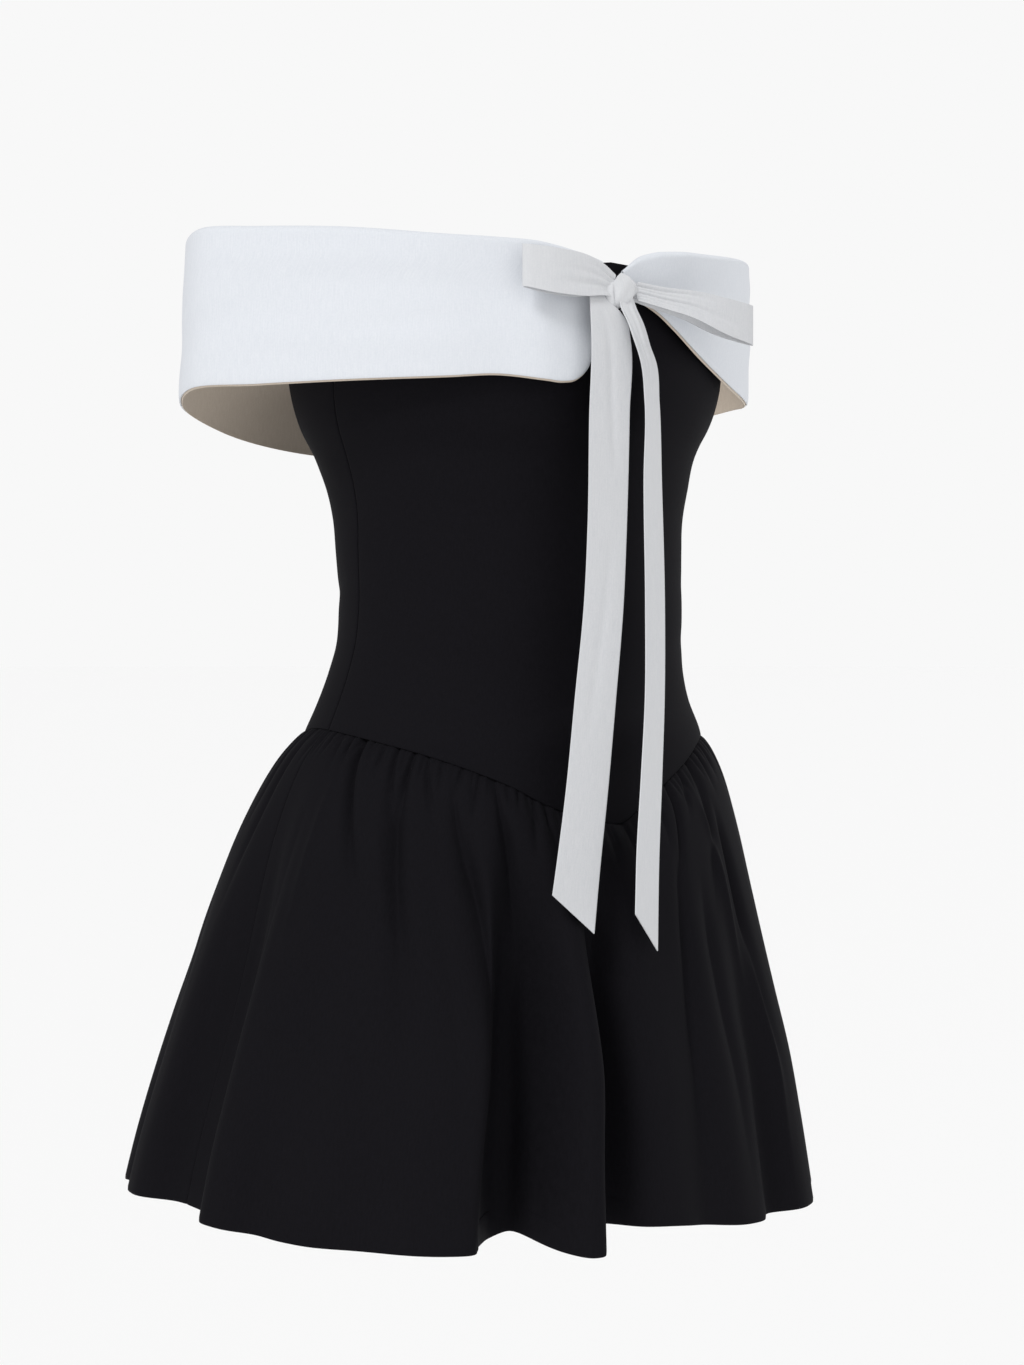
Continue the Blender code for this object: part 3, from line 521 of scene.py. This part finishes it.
def makeSkirtPanel(name, node, start, end):
    first, last = start - skirt["foldMargin"], end + skirt["foldMargin"]
    folds = smallGathers(start, end) + [fold for fold in skirt["folds"] if first < fold[0] < last]

    def place(across, up):
        degrees = start + (end - start) * across
        fromTop = 1.0 - up
        share = np.minimum(fromTop / skirt["mainShare"], 1.0) ** skirt["rowCrowding"]
        top = seamHeight(degrees) - form["seamGap"] / 2 * mm
        hem = readTable(skirt["hem"], wrapDegrees(degrees))[0] * cm
        height = top + (hem - top) * share
        down = top - height
        radius = bodyRing(height)[0]
        relief = skirt["gatherSeat"] * mm + np.zeros(len(degrees))
        relief += skirt["puff"] * cm * (1.0 - np.exp(-down / (skirt["puffLength"] * cm)))
        hanging = ease(share / skirt["fluteFull"])
        fluted, lean = fluteForm(degrees, skirt["hemHalfWidth"] * cm / radius)
        relief += fluted * hanging
        for fold in folds:
            relief += hangingFold(degrees, down, radius, fold)
        relief -= dip(down, skirt["seamDip"], skirt["seamDipWidth"])
        toSeam = np.minimum(degrees - start, end - degrees) * math.radians(1) * radius
        relief -= dip(toSeam, bodice["seamDip"], bodice["seamDipWidth"])
        # past the hem the cloth turns round a small radius and runs up inside
        beyond = np.clip((fromTop - skirt["mainShare"]) / (1.0 - skirt["mainShare"]), 0.0, 1.0)
        turnShare = skirt["hemTurn"]
        turn = math.pi * np.minimum(beyond / turnShare, 1.0)
        rise = np.clip((beyond - turnShare) / (1.0 - turnShare), 0.0, 1.0) * skirt["hemDepth"] * cm
        relief -= skirt["hemRadius"] * mm * (1.0 - np.cos(turn))
        height = height - skirt["hemRadius"] * mm * np.sin(turn) + rise
        return bodyPoints(degrees + lean * hanging + seamTrim(across, radius), height, relief)

    look = {**skirt, "flat": skirt["flat"][node]}
    return makeCloth(name, skirt["columnsPerPanel"][node], skirt["rows"], place, look, blackCrepe)


skirtPanels = {
    "skirt_front": makeSkirtPanel("skirtFrontCloth", "skirt_front", -sideSeam, sideSeam),
    "skirt_back": makeSkirtPanel("skirtBackCloth", "skirt_back", sideSeam, 360.0 - sideSeam),
}
for node, piece in skirtPanels.items():
    seat(piece, node)
print("skirt made")


# Collar

collar = {
    "wall": 1.1, "side": 0.0, "flat": (0.56, 0.14),
    "columns": 240, "rows": 84, "columnCrowding": 1.25,
    # from the centre front round the arm to the centre back (cm): plan of the outer face under
    # the top fold, top of the right half and of the left, lower edge of the right half and of
    # the left, lean of the left half
    "stations": [
        (0.3, -12.05, 21.5, 21.3, 17.6, 20.2, 0.1), (2.0, -12.0, 22.1, 22.35, 16.6, 19.4, 0.1),
        (2.75, -11.98, 22.3, 22.55, 15.0, 19.05, 0.1), (3.4, -11.94, 22.45, 22.68, 14.4, 18.7, 0.1),
        (4.5, -11.8, 22.7, 22.78, 14.15, 18.0, 0.05), (5.6, -11.6, 22.9, 22.85, 14.25, 17.3, 0.0),
        (8.3, -10.35, 23.15, 22.95, 14.55, 16.0, 0.0), (11.2, -8.9, 23.3, 23.05, 14.4, 14.8, 0.0),
        (16.2, -4.7, 23.8, 23.35, 14.2, 13.9, 0.0), (19.8, -0.2, 24.0, 23.6, 14.0, 13.8, 0.0),
        (21.7, 4.2, 24.1, 23.8, 13.9, 13.8, 0.2), (20.2, 8.2, 23.4, 23.4, 13.0, 13.0, 0.45),
        (15.6, 11.1, 21.9, 21.9, 11.6, 11.6, 0.5), (8.0, 13.2, 20.5, 20.5, 10.4, 10.4, 0.5),
        (3.0, 13.68, 20.15, 20.15, 10.15, 10.15, 0.5), (0.0, 13.7, 20.1, 20.1, 10.1, 10.1, 0.5),
    ],
    "modelWall": 1.5,        # mm, the solid's wall, whose middle this cloth follows
    "spring": 0.45,          # share of the rows on the outer layer, below the top fold
    "innerSpring": 0.75,     # share where the inner layer starts
    "fold": 3.4,             # mm, radius of the roll at the top
    "foldOpens": 2.2, "pressed": 0.3,         # cm from the knot, and share of the roll left at it
    "rightLean": 0.5, "leanDepth": 7.0,       # cm
    "innerLayer": 2.4,       # cm
    "clearance": 1.35,       # mm off the bodice
    "frontEdge": 2.4, "frontSlant": 3.0,      # cm, and share of the outer layer it slants over
    "underLoop": 1.0,        # cm from the middle: its top corner ends under the bow's loop
    "edgeRoll": 0.8, "edgeRollWidth": 2.5,    # mm: the sewn lower edge turns in
    "halfGap": 0.2,          # mm from the centre back
    "planStep": 0.2,         # cm either way, to find which way the plan runs
    "outerFade": 0.12,       # share of the rows past the top fold where waves die out
    # soft waves of the cloth: place round the collar and height at both ends (cm), half width
    # and depth (mm); each half has its own
    "waves": {
        "collar_right": [
            (4.0, 19.4, 20.0, 20.6, 13.0, 1.6), (6.0, 16.6, 24.0, 17.0, 12.0, -1.4),
            (12.0, 21.8, 30.0, 22.2, 9.0, -0.9), (9.0, 18.2, 18.0, 17.4, 8.0, 0.9),
            (24.0, 19.0, 33.0, 16.2, 12.0, 1.5), (33.0, 20.0, 46.0, 17.2, 13.0, -1.6),
            (38.0, 14.0, 52.0, 13.0, 11.0, 1.5), (44.0, 18.4, 54.0, 16.2, 10.0, 1.2),
        ],
        "collar_left": [
            (5.0, 21.0, 16.0, 20.4, 9.0, 1.4), (12.0, 18.0, 24.0, 17.6, 10.0, -1.3),
            (18.0, 21.6, 30.0, 21.6, 9.0, -1.0), (22.0, 16.6, 34.0, 15.6, 10.0, 1.4),
            (33.0, 19.0, 45.0, 16.6, 12.0, -1.5), (37.0, 14.2, 50.0, 12.6, 11.0, 1.4),
            (45.0, 17.4, 54.0, 15.4, 10.0, 1.2),
        ],
    },
}


def collarPlan():
    rows, distance = [], 0.0
    for index, station in enumerate(collar["stations"]):
        if index:
            before = collar["stations"][index - 1]
            distance += math.hypot(station[0] - before[0], station[1] - before[1])
        rows.append((distance, *station))
    return rows


plan = collarPlan()
planLength = plan[-1][0] * cm


def collarSpots(distance, share, side, node, standOff=0.0):
    # the collar's middle surface: share 0 is the outer lower edge, 1 the inner layer's edge
    x, y, topRight, topLeft, lowRight, lowLeft, leftLean = [
        column * cm for column in readTable(plan, distance / cm)]
    step = collar["planStep"] * cm
    ahead, behind = (readTable(plan, (distance + way * step) / cm) for way in (1, -1))
    along = np.array([ahead[0] - behind[0], ahead[1] - behind[1]])
    along /= np.hypot(*along)
    out = np.array([along[1], -along[0]])
    rightLean = collar["rightLean"] * cm + 0.0 * x
    top, low, fullLean = (topLeft, lowLeft, leftLean) if side > 0 else (topRight, lowRight, rightLean)
    # at the knot the fold is pressed flat
    radius = collar["fold"] * mm * (
        collar["pressed"] + (1.0 - collar["pressed"]) * ease(distance / (collar["foldOpens"] * cm)))
    spring = top - radius
    fromLow = np.clip(share / collar["spring"], 0.0, 1.0)
    height = low + (spring - low) * fromLow
    lean = fullLean * (1.0 - fromLow) * np.minimum(
        1.0, (spring - low) / (collar["leanDepth"] * cm))
    turn = math.pi * np.clip((share - collar["spring"]) / (collar["innerSpring"] - collar["spring"]), 0, 1)
    inner = np.clip((share - collar["innerSpring"]) / (1.0 - collar["innerSpring"]), 0.0, 1.0)
    height = height + radius * np.sin(turn) - collar["innerLayer"] * cm * inner
    away = lean - radius * (1.0 - np.cos(turn)) - collar["modelWall"] / 2 * mm + standOff
    outer = 1.0 - ease((share - collar["spring"]) / collar["outerFade"])
    for d0, h0, d1, h1, halfWidth, depth in collar["waves"][node]:
        away = away + outer * crease(distance, height, (d0 * cm, h0 * cm), (d1 * cm, h1 * cm),
                                     halfWidth * mm, depth * mm)
    away = away - collar["edgeRoll"] * mm * np.exp(-(height - low) / (collar["edgeRollWidth"] * mm)) * outer
    spotX, spotY = x + out[0] * away, y + out[1] * away
    halfWidth, halfDepth, centreY = bodyRing(height)
    gap = collar["clearance"] * mm + standOff
    reach = np.hypot(spotX / (halfWidth + gap), (spotY - centreY) / (halfDepth + gap))
    push = np.minimum(reach, 1.0)
    return np.column_stack([side * spotX / push, centreY + (spotY - centreY) / push, height])


def collarStart(share, side):
    # the right half's front edge slants out from the knot to its own line
    below = np.clip((collar["spring"] - share) / collar["spring"], 0.0, 1.0)
    if side > 0:
        return np.zeros(len(share))
    slant = (collar["frontEdge"] - collar["stations"][0][0]) * cm * ease(below * collar["frontSlant"])
    return np.maximum(slant, collar["underLoop"] * cm)


def makeCollarHalf(name, node, side):
    def place(across, up):
        across = across if side > 0 else 1.0 - across
        start = collarStart(up, side)
        end = planLength - collar["halfGap"] * mm
        return collarSpots(start + (end - start) * across ** collar["columnCrowding"], up, side, node)

    return makeCloth(name, collar["columns"], collar["rows"], place, collar, whiteCrepe)


facing = {
    "wall": 0.6, "side": 0.0, "flat": (0.56, 0.1), "columns": 200, "rows": 44,
    "behind": 1.3,           # mm inside the outer layer
    "peeps": 1.1,            # mm below its edge
    "peepFade": 6.0,         # that drop fades out within one part in six of the piece's height
    "reach": 0.96,           # share of the outer layer that it lines
}


def makeFacing(name, node, side):
    def place(across, up):
        across = across if side > 0 else 1.0 - across
        share = up * collar["spring"] * facing["reach"]
        start = collarStart(share, side)
        end = planLength - 2 * collar["halfGap"] * mm
        spots = collarSpots(start + (end - start) * across ** collar["columnCrowding"], share, side,
                            node, -facing["behind"] * mm)
        spots[:, 2] -= facing["peeps"] * mm * (1.0 - ease(up * facing["peepFade"]))
        return spots

    return makeCloth(name, facing["columns"], facing["rows"], place, facing, creamLining)


for node, side, word in (("collar_right", -1, "Right"), ("collar_left", 1, "Left")):
    half = makeCollarHalf(f"collar{word}Cloth", node, side)
    seat(half, node)
    under = makeFacing(f"collar{word}Facing", node, side)
    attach(under, "root")
print("collar made")


# Ribbon bow

ribbon = {"wall": 0.9, "side": 0.0, "width": 3.2}     # mm, side of the form, cm
loops = {
    # share of the way out, x, y, z, half width, half opening (cm)
    "bow_loop_right": {
        "table": [
            (0.0, -1.35, -13.05, 20.2, 0.7, 0.3), (0.2, -2.4, -13.05, 20.55, 1.0, 0.45),
            (0.4, -3.7, -13.0, 20.75, 1.3, 0.52), (0.7, -5.9, -12.8, 20.98, 1.4, 0.45),
            (1.0, -7.75, -12.3, 21.28, 1.33, 0.24),
        ],
        # pleats: place across at the knot and at the far end (-1 to 1), reach, depth (mm), half width
        "pleats": [
            (0.55, 0.75, 0.55, 1.6, 0.16), (0.15, 0.25, 0.8, 1.9, 0.2),
            (-0.3, -0.5, 0.95, 2.4, 0.22), (-0.65, -0.85, 0.5, 1.6, 0.16),
        ],
        "flat": (0.14, 0.03),
    },
    "bow_loop_left": {
        "table": [
            (0.0, 0.45, -13.05, 19.95, 0.6, 0.3), (0.2, 2.2, -13.25, 19.6, 0.68, 0.5),
            (0.42, 4.3, -13.55, 19.25, 0.87, 0.6), (0.7, 6.6, -13.8, 18.64, 1.15, 0.55),
            (1.0, 9.3, -13.9, 18.1, 1.28, 0.24),
        ],
        "pleats": [
            (0.6, 0.7, 0.75, 1.8, 0.16), (0.3, 0.2, 0.6, 1.7, 0.15), (-0.05, -0.25, 1.0, 2.6, 0.2),
            (-0.4, -0.6, 0.9, 2.0, 0.17), (-0.7, -0.85, 0.6, 1.5, 0.14),
        ],
        "flat": (0.18, 0.028),
    },
}
loopEnd, loopColumns, loopRows = 0.08, 120, 44


def makeBowLoop(name, node, side):
    loop = loops[node]

    def place(across, up):
        across = 1.0 - across if side > 0 else across
        way = 2.0 * across - 1.0
        share = np.sin(math.pi / 2 * (1.0 - np.abs(way)))
        roundEnd = np.sqrt(1.0 - (1.0 - np.minimum(1.0, (1.0 - share) / loopEnd)) ** 2)
        x, y, z, halfWidth, halfOpening = [column * cm for column in readTable(loop["table"], share)]
        wide = 2.0 * up - 1.0
        layer = np.where(way < 0, -1.0, 1.0)
        opening = halfOpening * roundEnd
        for atKnot, atEnd, reach, depth, halfPleat in loop["pleats"]:
            line = atKnot + (atEnd - atKnot) * share
            fade = 1.0 - ease(share / reach)
            opening = opening - depth * mm * fade * np.exp(-((wide - line) / halfPleat) ** 2)
        return np.column_stack([x, y + opening * layer, z + wide * halfWidth])

    look = {**ribbon, "flat": loop["flat"]}
    return makeCloth(name, loopColumns, loopRows, place, look, offWhiteRibbon)


tails = {
    # height, x, y, turn about the vertical (degrees), width (cm)
    "tie_tail_right": {
        "table": [
            (-19.5, -4.95, -13.8, 0.0, 3.25), (-16.0, -4.33, -13.6, 0.0, 3.2),
            (-12.0, -3.63, -13.4, 0.0, 3.2), (-6.0, -2.8, -13.2, 0.0, 3.2),
            (0.0, -2.07, -13.1, 0.0, 3.1), (5.0, -1.87, -13.2, 0.0, 3.07),
            (12.0, -1.92, -13.5, 0.0, 3.15), (16.9, -1.88, -13.6, 0.0, 3.05),
            (17.9, -1.95, -13.5, 0.0, 2.86), (18.7, -2.25, -13.4, 0.0, 2.2),
            (19.3, -2.6, -13.25, 0.0, 1.35), (20.0, -2.7, -13.0, 0.0, 1.0),
        ],
        "flat": (0.032, 0.40),
        # across (-0.5 to 0.5) and height (cm) at both ends, half width and depth (mm)
        "folds": [(-0.1, 18.5, 0.15, 9.0, 3.0, 0.6), (0.1, 4.0, -0.1, -8.0, 4.0, 0.4)],
    },
    "tie_tail_left": {
        "table": [
            (-20.8, -0.05, -14.95, 27.0, 3.2), (-16.0, 0.4, -14.5, 27.5, 3.2),
            (-11.0, 1.1, -13.95, 29.0, 3.2), (-6.0, 1.73, -13.45, 30.5, 3.2),
            (0.0, 2.05, -13.05, 30.5, 3.2), (8.0, 1.82, -13.1, 32.5, 3.2),
            (13.0, 1.53, -13.4, 36.5, 3.2), (15.6, 0.93, -13.75, 34.0, 3.0),
            (16.5, 0.5, -13.8, 33.0, 2.7), (17.9, -0.05, -13.75, 20.0, 1.8),
            (18.8, -0.45, -13.6, 8.0, 1.35), (19.6, -0.6, -13.4, 0.0, 1.1),
        ],
        "flat": (0.032, 0.41),
        "folds": [(0.08, 19.4, 0.0, 14.0, 1.5, -1.5), (-0.16, 19.0, -0.2, 14.5, 1.3, 1.4),
                  (0.0, 6.0, 0.1, -6.0, 4.0, 0.4)],
    },
}
tailColumns, tailRows, tailSlant, slantPower = 28, 320, 2.6, 6


def makeTail(name, node):
    tail = tails[node]
    low, high = tail["table"][0][0], tail["table"][-1][0]

    def place(across, up):
        wide = across - 0.5
        height = low + (high - low) * up
        x, y, turn, width = readTable(tail["table"], height)
        angle = np.radians(turn)
        relief = np.zeros(len(wide))
        for a0, h0, a1, h1, halfWidth, depth in tail["folds"]:
            relief += crease(wide * width * cm, height * cm, (a0 * ribbon["width"] * cm, h0 * cm),
                             (a1 * ribbon["width"] * cm, h1 * cm), halfWidth * mm, depth * mm)
        slant = tailSlant * wide * (1.0 - up) ** slantPower
        return np.column_stack([
            (x + wide * width * np.cos(angle)) * cm + relief * np.sin(angle),
            (y + wide * width * np.sin(angle)) * cm - relief * np.cos(angle),
            (height - slant) * cm,
        ])

    look = {**ribbon, "flat": tail["flat"]}
    return makeCloth(name, tailColumns, tailRows, place, look, offWhiteRibbon)


# The knot is rolls of ribbon round a soft core, placed from the middle of the knot's own solid.
knot = {
    # path: x, y, z from the knot's middle, half width, half thickness (cm)
    "rolls": {
        "frontWrap": [
            (0.38, 0.10, 0.92, 0.45, 0.20), (0.14, -0.42, 0.70, 0.68, 0.28),
            (-0.32, -0.64, 0.15, 0.80, 0.32), (-0.62, -0.58, -0.42, 0.60, 0.30),
            (-0.80, -0.25, -0.88, 0.34, 0.22), (-0.85, 0.15, -1.0, 0.26, 0.16),
        ],
        "leftLobe": [
            (-0.85, 0.0, 0.80, 0.26, 0.2), (-1.14, -0.30, 0.42, 0.34, 0.3),
            (-1.24, -0.40, -0.15, 0.34, 0.32), (-1.04, -0.38, -0.75, 0.26, 0.26),
            (-0.78, -0.22, -1.12, 0.14, 0.14),
        ],
        "lowerLobe": [
            (0.42, 0.0, 0.1, 0.3, 0.2), (0.28, -0.36, -0.35, 0.4, 0.26),
            (0.12, -0.44, -0.8, 0.4, 0.24), (0.2, -0.3, -1.15, 0.34, 0.18),
        ],
        "rightRoll": [
            (0.0, -0.1, 0.72, 0.3, 0.26), (0.46, -0.36, 0.52, 0.34, 0.3),
            (0.84, -0.22, 0.15, 0.32, 0.26), (1.02, 0.0, -0.12, 0.24, 0.18),
        ],
        "core": [
            (-0.95, 0.15, 0.0, 0.5, 0.3), (-0.45, 0.05, 0.0, 0.8, 0.45),
            (0.15, 0.05, 0.0, 0.8, 0.45), (0.7, 0.15, -0.05, 0.5, 0.3),
        ],
    },
    "ripples": 5, "rippleDepth": 0.07, "rippleTwist": 2.0, "rippleShift": 1.7,
    "rows": 48, "columns": 56,
    # shares of a roll's path: past its ends it is held, its direction is read this far either way,
    # and it closes to a point over the last one
    "heldEnds": 0.04, "lookEitherWay": 0.02, "closing": 0.12,
    "leansFrom": (0.6, 0.6, 0.4),     # weights across, forward (cm) and up of a roll's outer side
    "weld": 0.02,                     # mm
}


def makeRoll(shape, middle, path, seed):
    # a closed roll of ribbon along a path, with shallow folds running along it
    points = np.array(path)
    keys = np.linspace(0.0, 1.0, len(points))
    table = np.column_stack([keys, points])
    made = bmesh.ops.create_grid(shape, x_segments=knot["columns"], y_segments=knot["rows"], size=0.5)
    around = np.array([vert.co.x for vert in made["verts"]]) + 0.5
    along = np.array([vert.co.y for vert in made["verts"]]) + 0.5
    held = np.clip(along, knot["heldEnds"], 1.0 - knot["heldEnds"])
    x, y, z, halfWidth, halfThick = readTable(table, held)
    ahead, behind = (readTable(table, held + way * knot["lookEitherWay"]) for way in (1, -1))
    tangent = np.column_stack([ahead[k] - behind[k] for k in range(3)])
    tangent /= np.linalg.norm(tangent, axis=1)[:, None]
    leanX, leanY, leanZ = knot["leansFrom"]
    outward = np.column_stack([x * leanX, y - leanY, z * leanZ])
    sideways = np.cross(tangent, outward)
    sideways /= np.linalg.norm(sideways, axis=1)[:, None]
    outward = np.cross(sideways, tangent)
    angle = 2.0 * math.pi * around
    pastOpen = np.maximum(np.abs(along - 0.5) - (0.5 - knot["closing"]), 0.0) / knot["closing"]
    closing = np.sqrt(np.clip(1.0 - pastOpen ** 2, 0.0, 1.0))
    ripple = 1.0 + knot["rippleDepth"] * np.sin(
        knot["ripples"] * angle + seed + knot["rippleTwist"] * along)
    across = halfWidth * np.cos(angle) * closing * ripple
    up = halfThick * np.sin(angle) * closing * ripple
    ends = tangent * ((along - held) * 2.0)[:, None]
    spots = np.column_stack([x, y, z]) + sideways * across[:, None] + outward * up[:, None] + ends
    for vert, spot in zip(made["verts"], spots):
        vert.co = middle + Vector(spot) * cm


def makeKnot(name):
    low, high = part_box("bow_knot")
    middle = (low + high) / 2
    shape = bmesh.new()
    for number, path in enumerate(knot["rolls"].values()):
        makeRoll(shape, middle, path, number * knot["rippleShift"])
    bmesh.ops.remove_doubles(shape, verts=shape.verts, dist=knot["weld"] * mm)
    bmesh.ops.recalc_face_normals(shape, faces=shape.faces)
    mesh = bpy.data.meshes.new(name)
    shape.to_mesh(mesh)
    shape.free()
    weave = mesh.uv_layers.new(name="weave")
    spots = np.zeros(len(mesh.vertices) * 3)
    mesh.vertices.foreach_get("co", spots)
    corners = np.zeros(len(mesh.loops), int)
    mesh.loops.foreach_get("vertex_index", corners)
    weave.data.foreach_set("uv", spots.reshape(-1, 3)[corners][:, [0, 2]].ravel())
    mesh.shade_smooth()
    mesh.materials.append(offWhiteRibbon)
    piece = bpy.data.objects.new(name, mesh)
    bpy.context.scene.collection.objects.link(piece)
    return piece


for node, side, name in (("bow_loop_right", -1, "bowLoopRightRibbon"),
                         ("bow_loop_left", 1, "bowLoopLeftRibbon")):
    seat(makeBowLoop(name, node, side), node)
for node, name in (("tie_tail_right", "tieTailRightRibbon"), ("tie_tail_left", "tieTailLeftRibbon")):
    seat(makeTail(name, node), node)
knotPiece = makeKnot("bowKnotRibbon")
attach(knotPiece, "root")
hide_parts("bow_knot")
print("bow made")


# Floor, light and camera

studio = {
    "floorRadius": 60.0, "floorHeight": -1.05,     # m: the worn waist is this high above the floor
    "paper": "FCFCFC", "backdrop": "F8F8F8", "paperRough": 0.9,
    "ambient": 0.52,
    # turn from the front towards the garment's left, height (degrees), strength, softness (degrees)
    "suns": [(-68.0, 42.0, 1.4, 20.0), (0.0, 15.0, 0.4, 50.0), (95.0, 35.0, 0.7, 40.0)],
    "azimuth": -35.0, "distance": 2.45, "lens": 96.92, "filmHeight": 36.0, "tilt": 1.21,
}


def directionAt(azimuth, elevation):
    turn, rise = math.radians(azimuth), math.radians(elevation)
    return Vector((math.sin(turn) * math.cos(rise), -math.cos(turn) * math.cos(rise), math.sin(rise)))


def makeStudio():
    shape = bmesh.new()
    bmesh.ops.create_circle(shape, cap_ends=True, segments=96, radius=studio["floorRadius"])
    bmesh.ops.translate(shape, verts=shape.verts, vec=(0.0, 0.0, studio["floorHeight"]))
    mesh = bpy.data.meshes.new("paleFloor")
    shape.to_mesh(mesh)
    shape.free()
    floor = bpy.data.objects.new("paleFloor", mesh)
    bpy.context.scene.collection.objects.link(floor)
    paper = bpy.data.materials.new("palePaper")
    paper.use_nodes = True
    paperShader = paper.node_tree.nodes["Principled BSDF"]
    paperShader.inputs["Base Color"].default_value = linear(studio["paper"])
    paperShader.inputs["Roughness"].default_value = studio["paperRough"]
    mesh.materials.append(paper)

    world = bpy.data.worlds.new("softStudio")
    bpy.context.scene.world = world
    world.use_nodes = True
    tree = world.node_tree
    ambient = tree.nodes["Background"]
    ambient.inputs["Color"].default_value = (1.0, 1.0, 1.0, 1.0)
    ambient.inputs["Strength"].default_value = studio["ambient"]
    seen = addNode(tree, "ShaderNodeBackground", {"Color": linear(studio["backdrop"]), "Strength": 1.0})
    ray = addNode(tree, "ShaderNodeLightPath")
    mixed = addNode(tree, "ShaderNodeMixShader", {
        0: ray.outputs["Is Camera Ray"], 1: ambient.outputs[0], 2: seen.outputs[0]})
    tree.links.new(mixed.outputs[0], tree.nodes["World Output"].inputs["Surface"])

    for number, (turn, rise, strength, softness) in enumerate(studio["suns"]):
        light = bpy.data.lights.new(f"softSun{number}", "SUN")
        light.energy = strength
        light.angle = math.radians(softness)
        lamp = bpy.data.objects.new(light.name, light)
        lamp.rotation_euler = directionAt(turn, rise).to_track_quat("Z", "Y").to_euler()
        bpy.context.scene.collection.objects.link(lamp)

    lens = bpy.data.cameras.new("photoCamera")
    lens.sensor_fit = "VERTICAL"
    lens.sensor_height = studio["filmHeight"]
    lens.lens = studio["lens"]
    camera = bpy.data.objects.new("photoCamera", lens)
    back = directionAt(studio["azimuth"], 0.0)
    camera.location = back * studio["distance"]
    look = -directionAt(studio["azimuth"], studio["tilt"])
    camera.rotation_euler = look.to_track_quat("-Z", "Y").to_euler()
    bpy.context.scene.collection.objects.link(camera)
    bpy.context.scene.camera = camera
    bpy.context.scene.view_settings.view_transform = "Standard"


makeStudio()
print("studio made")
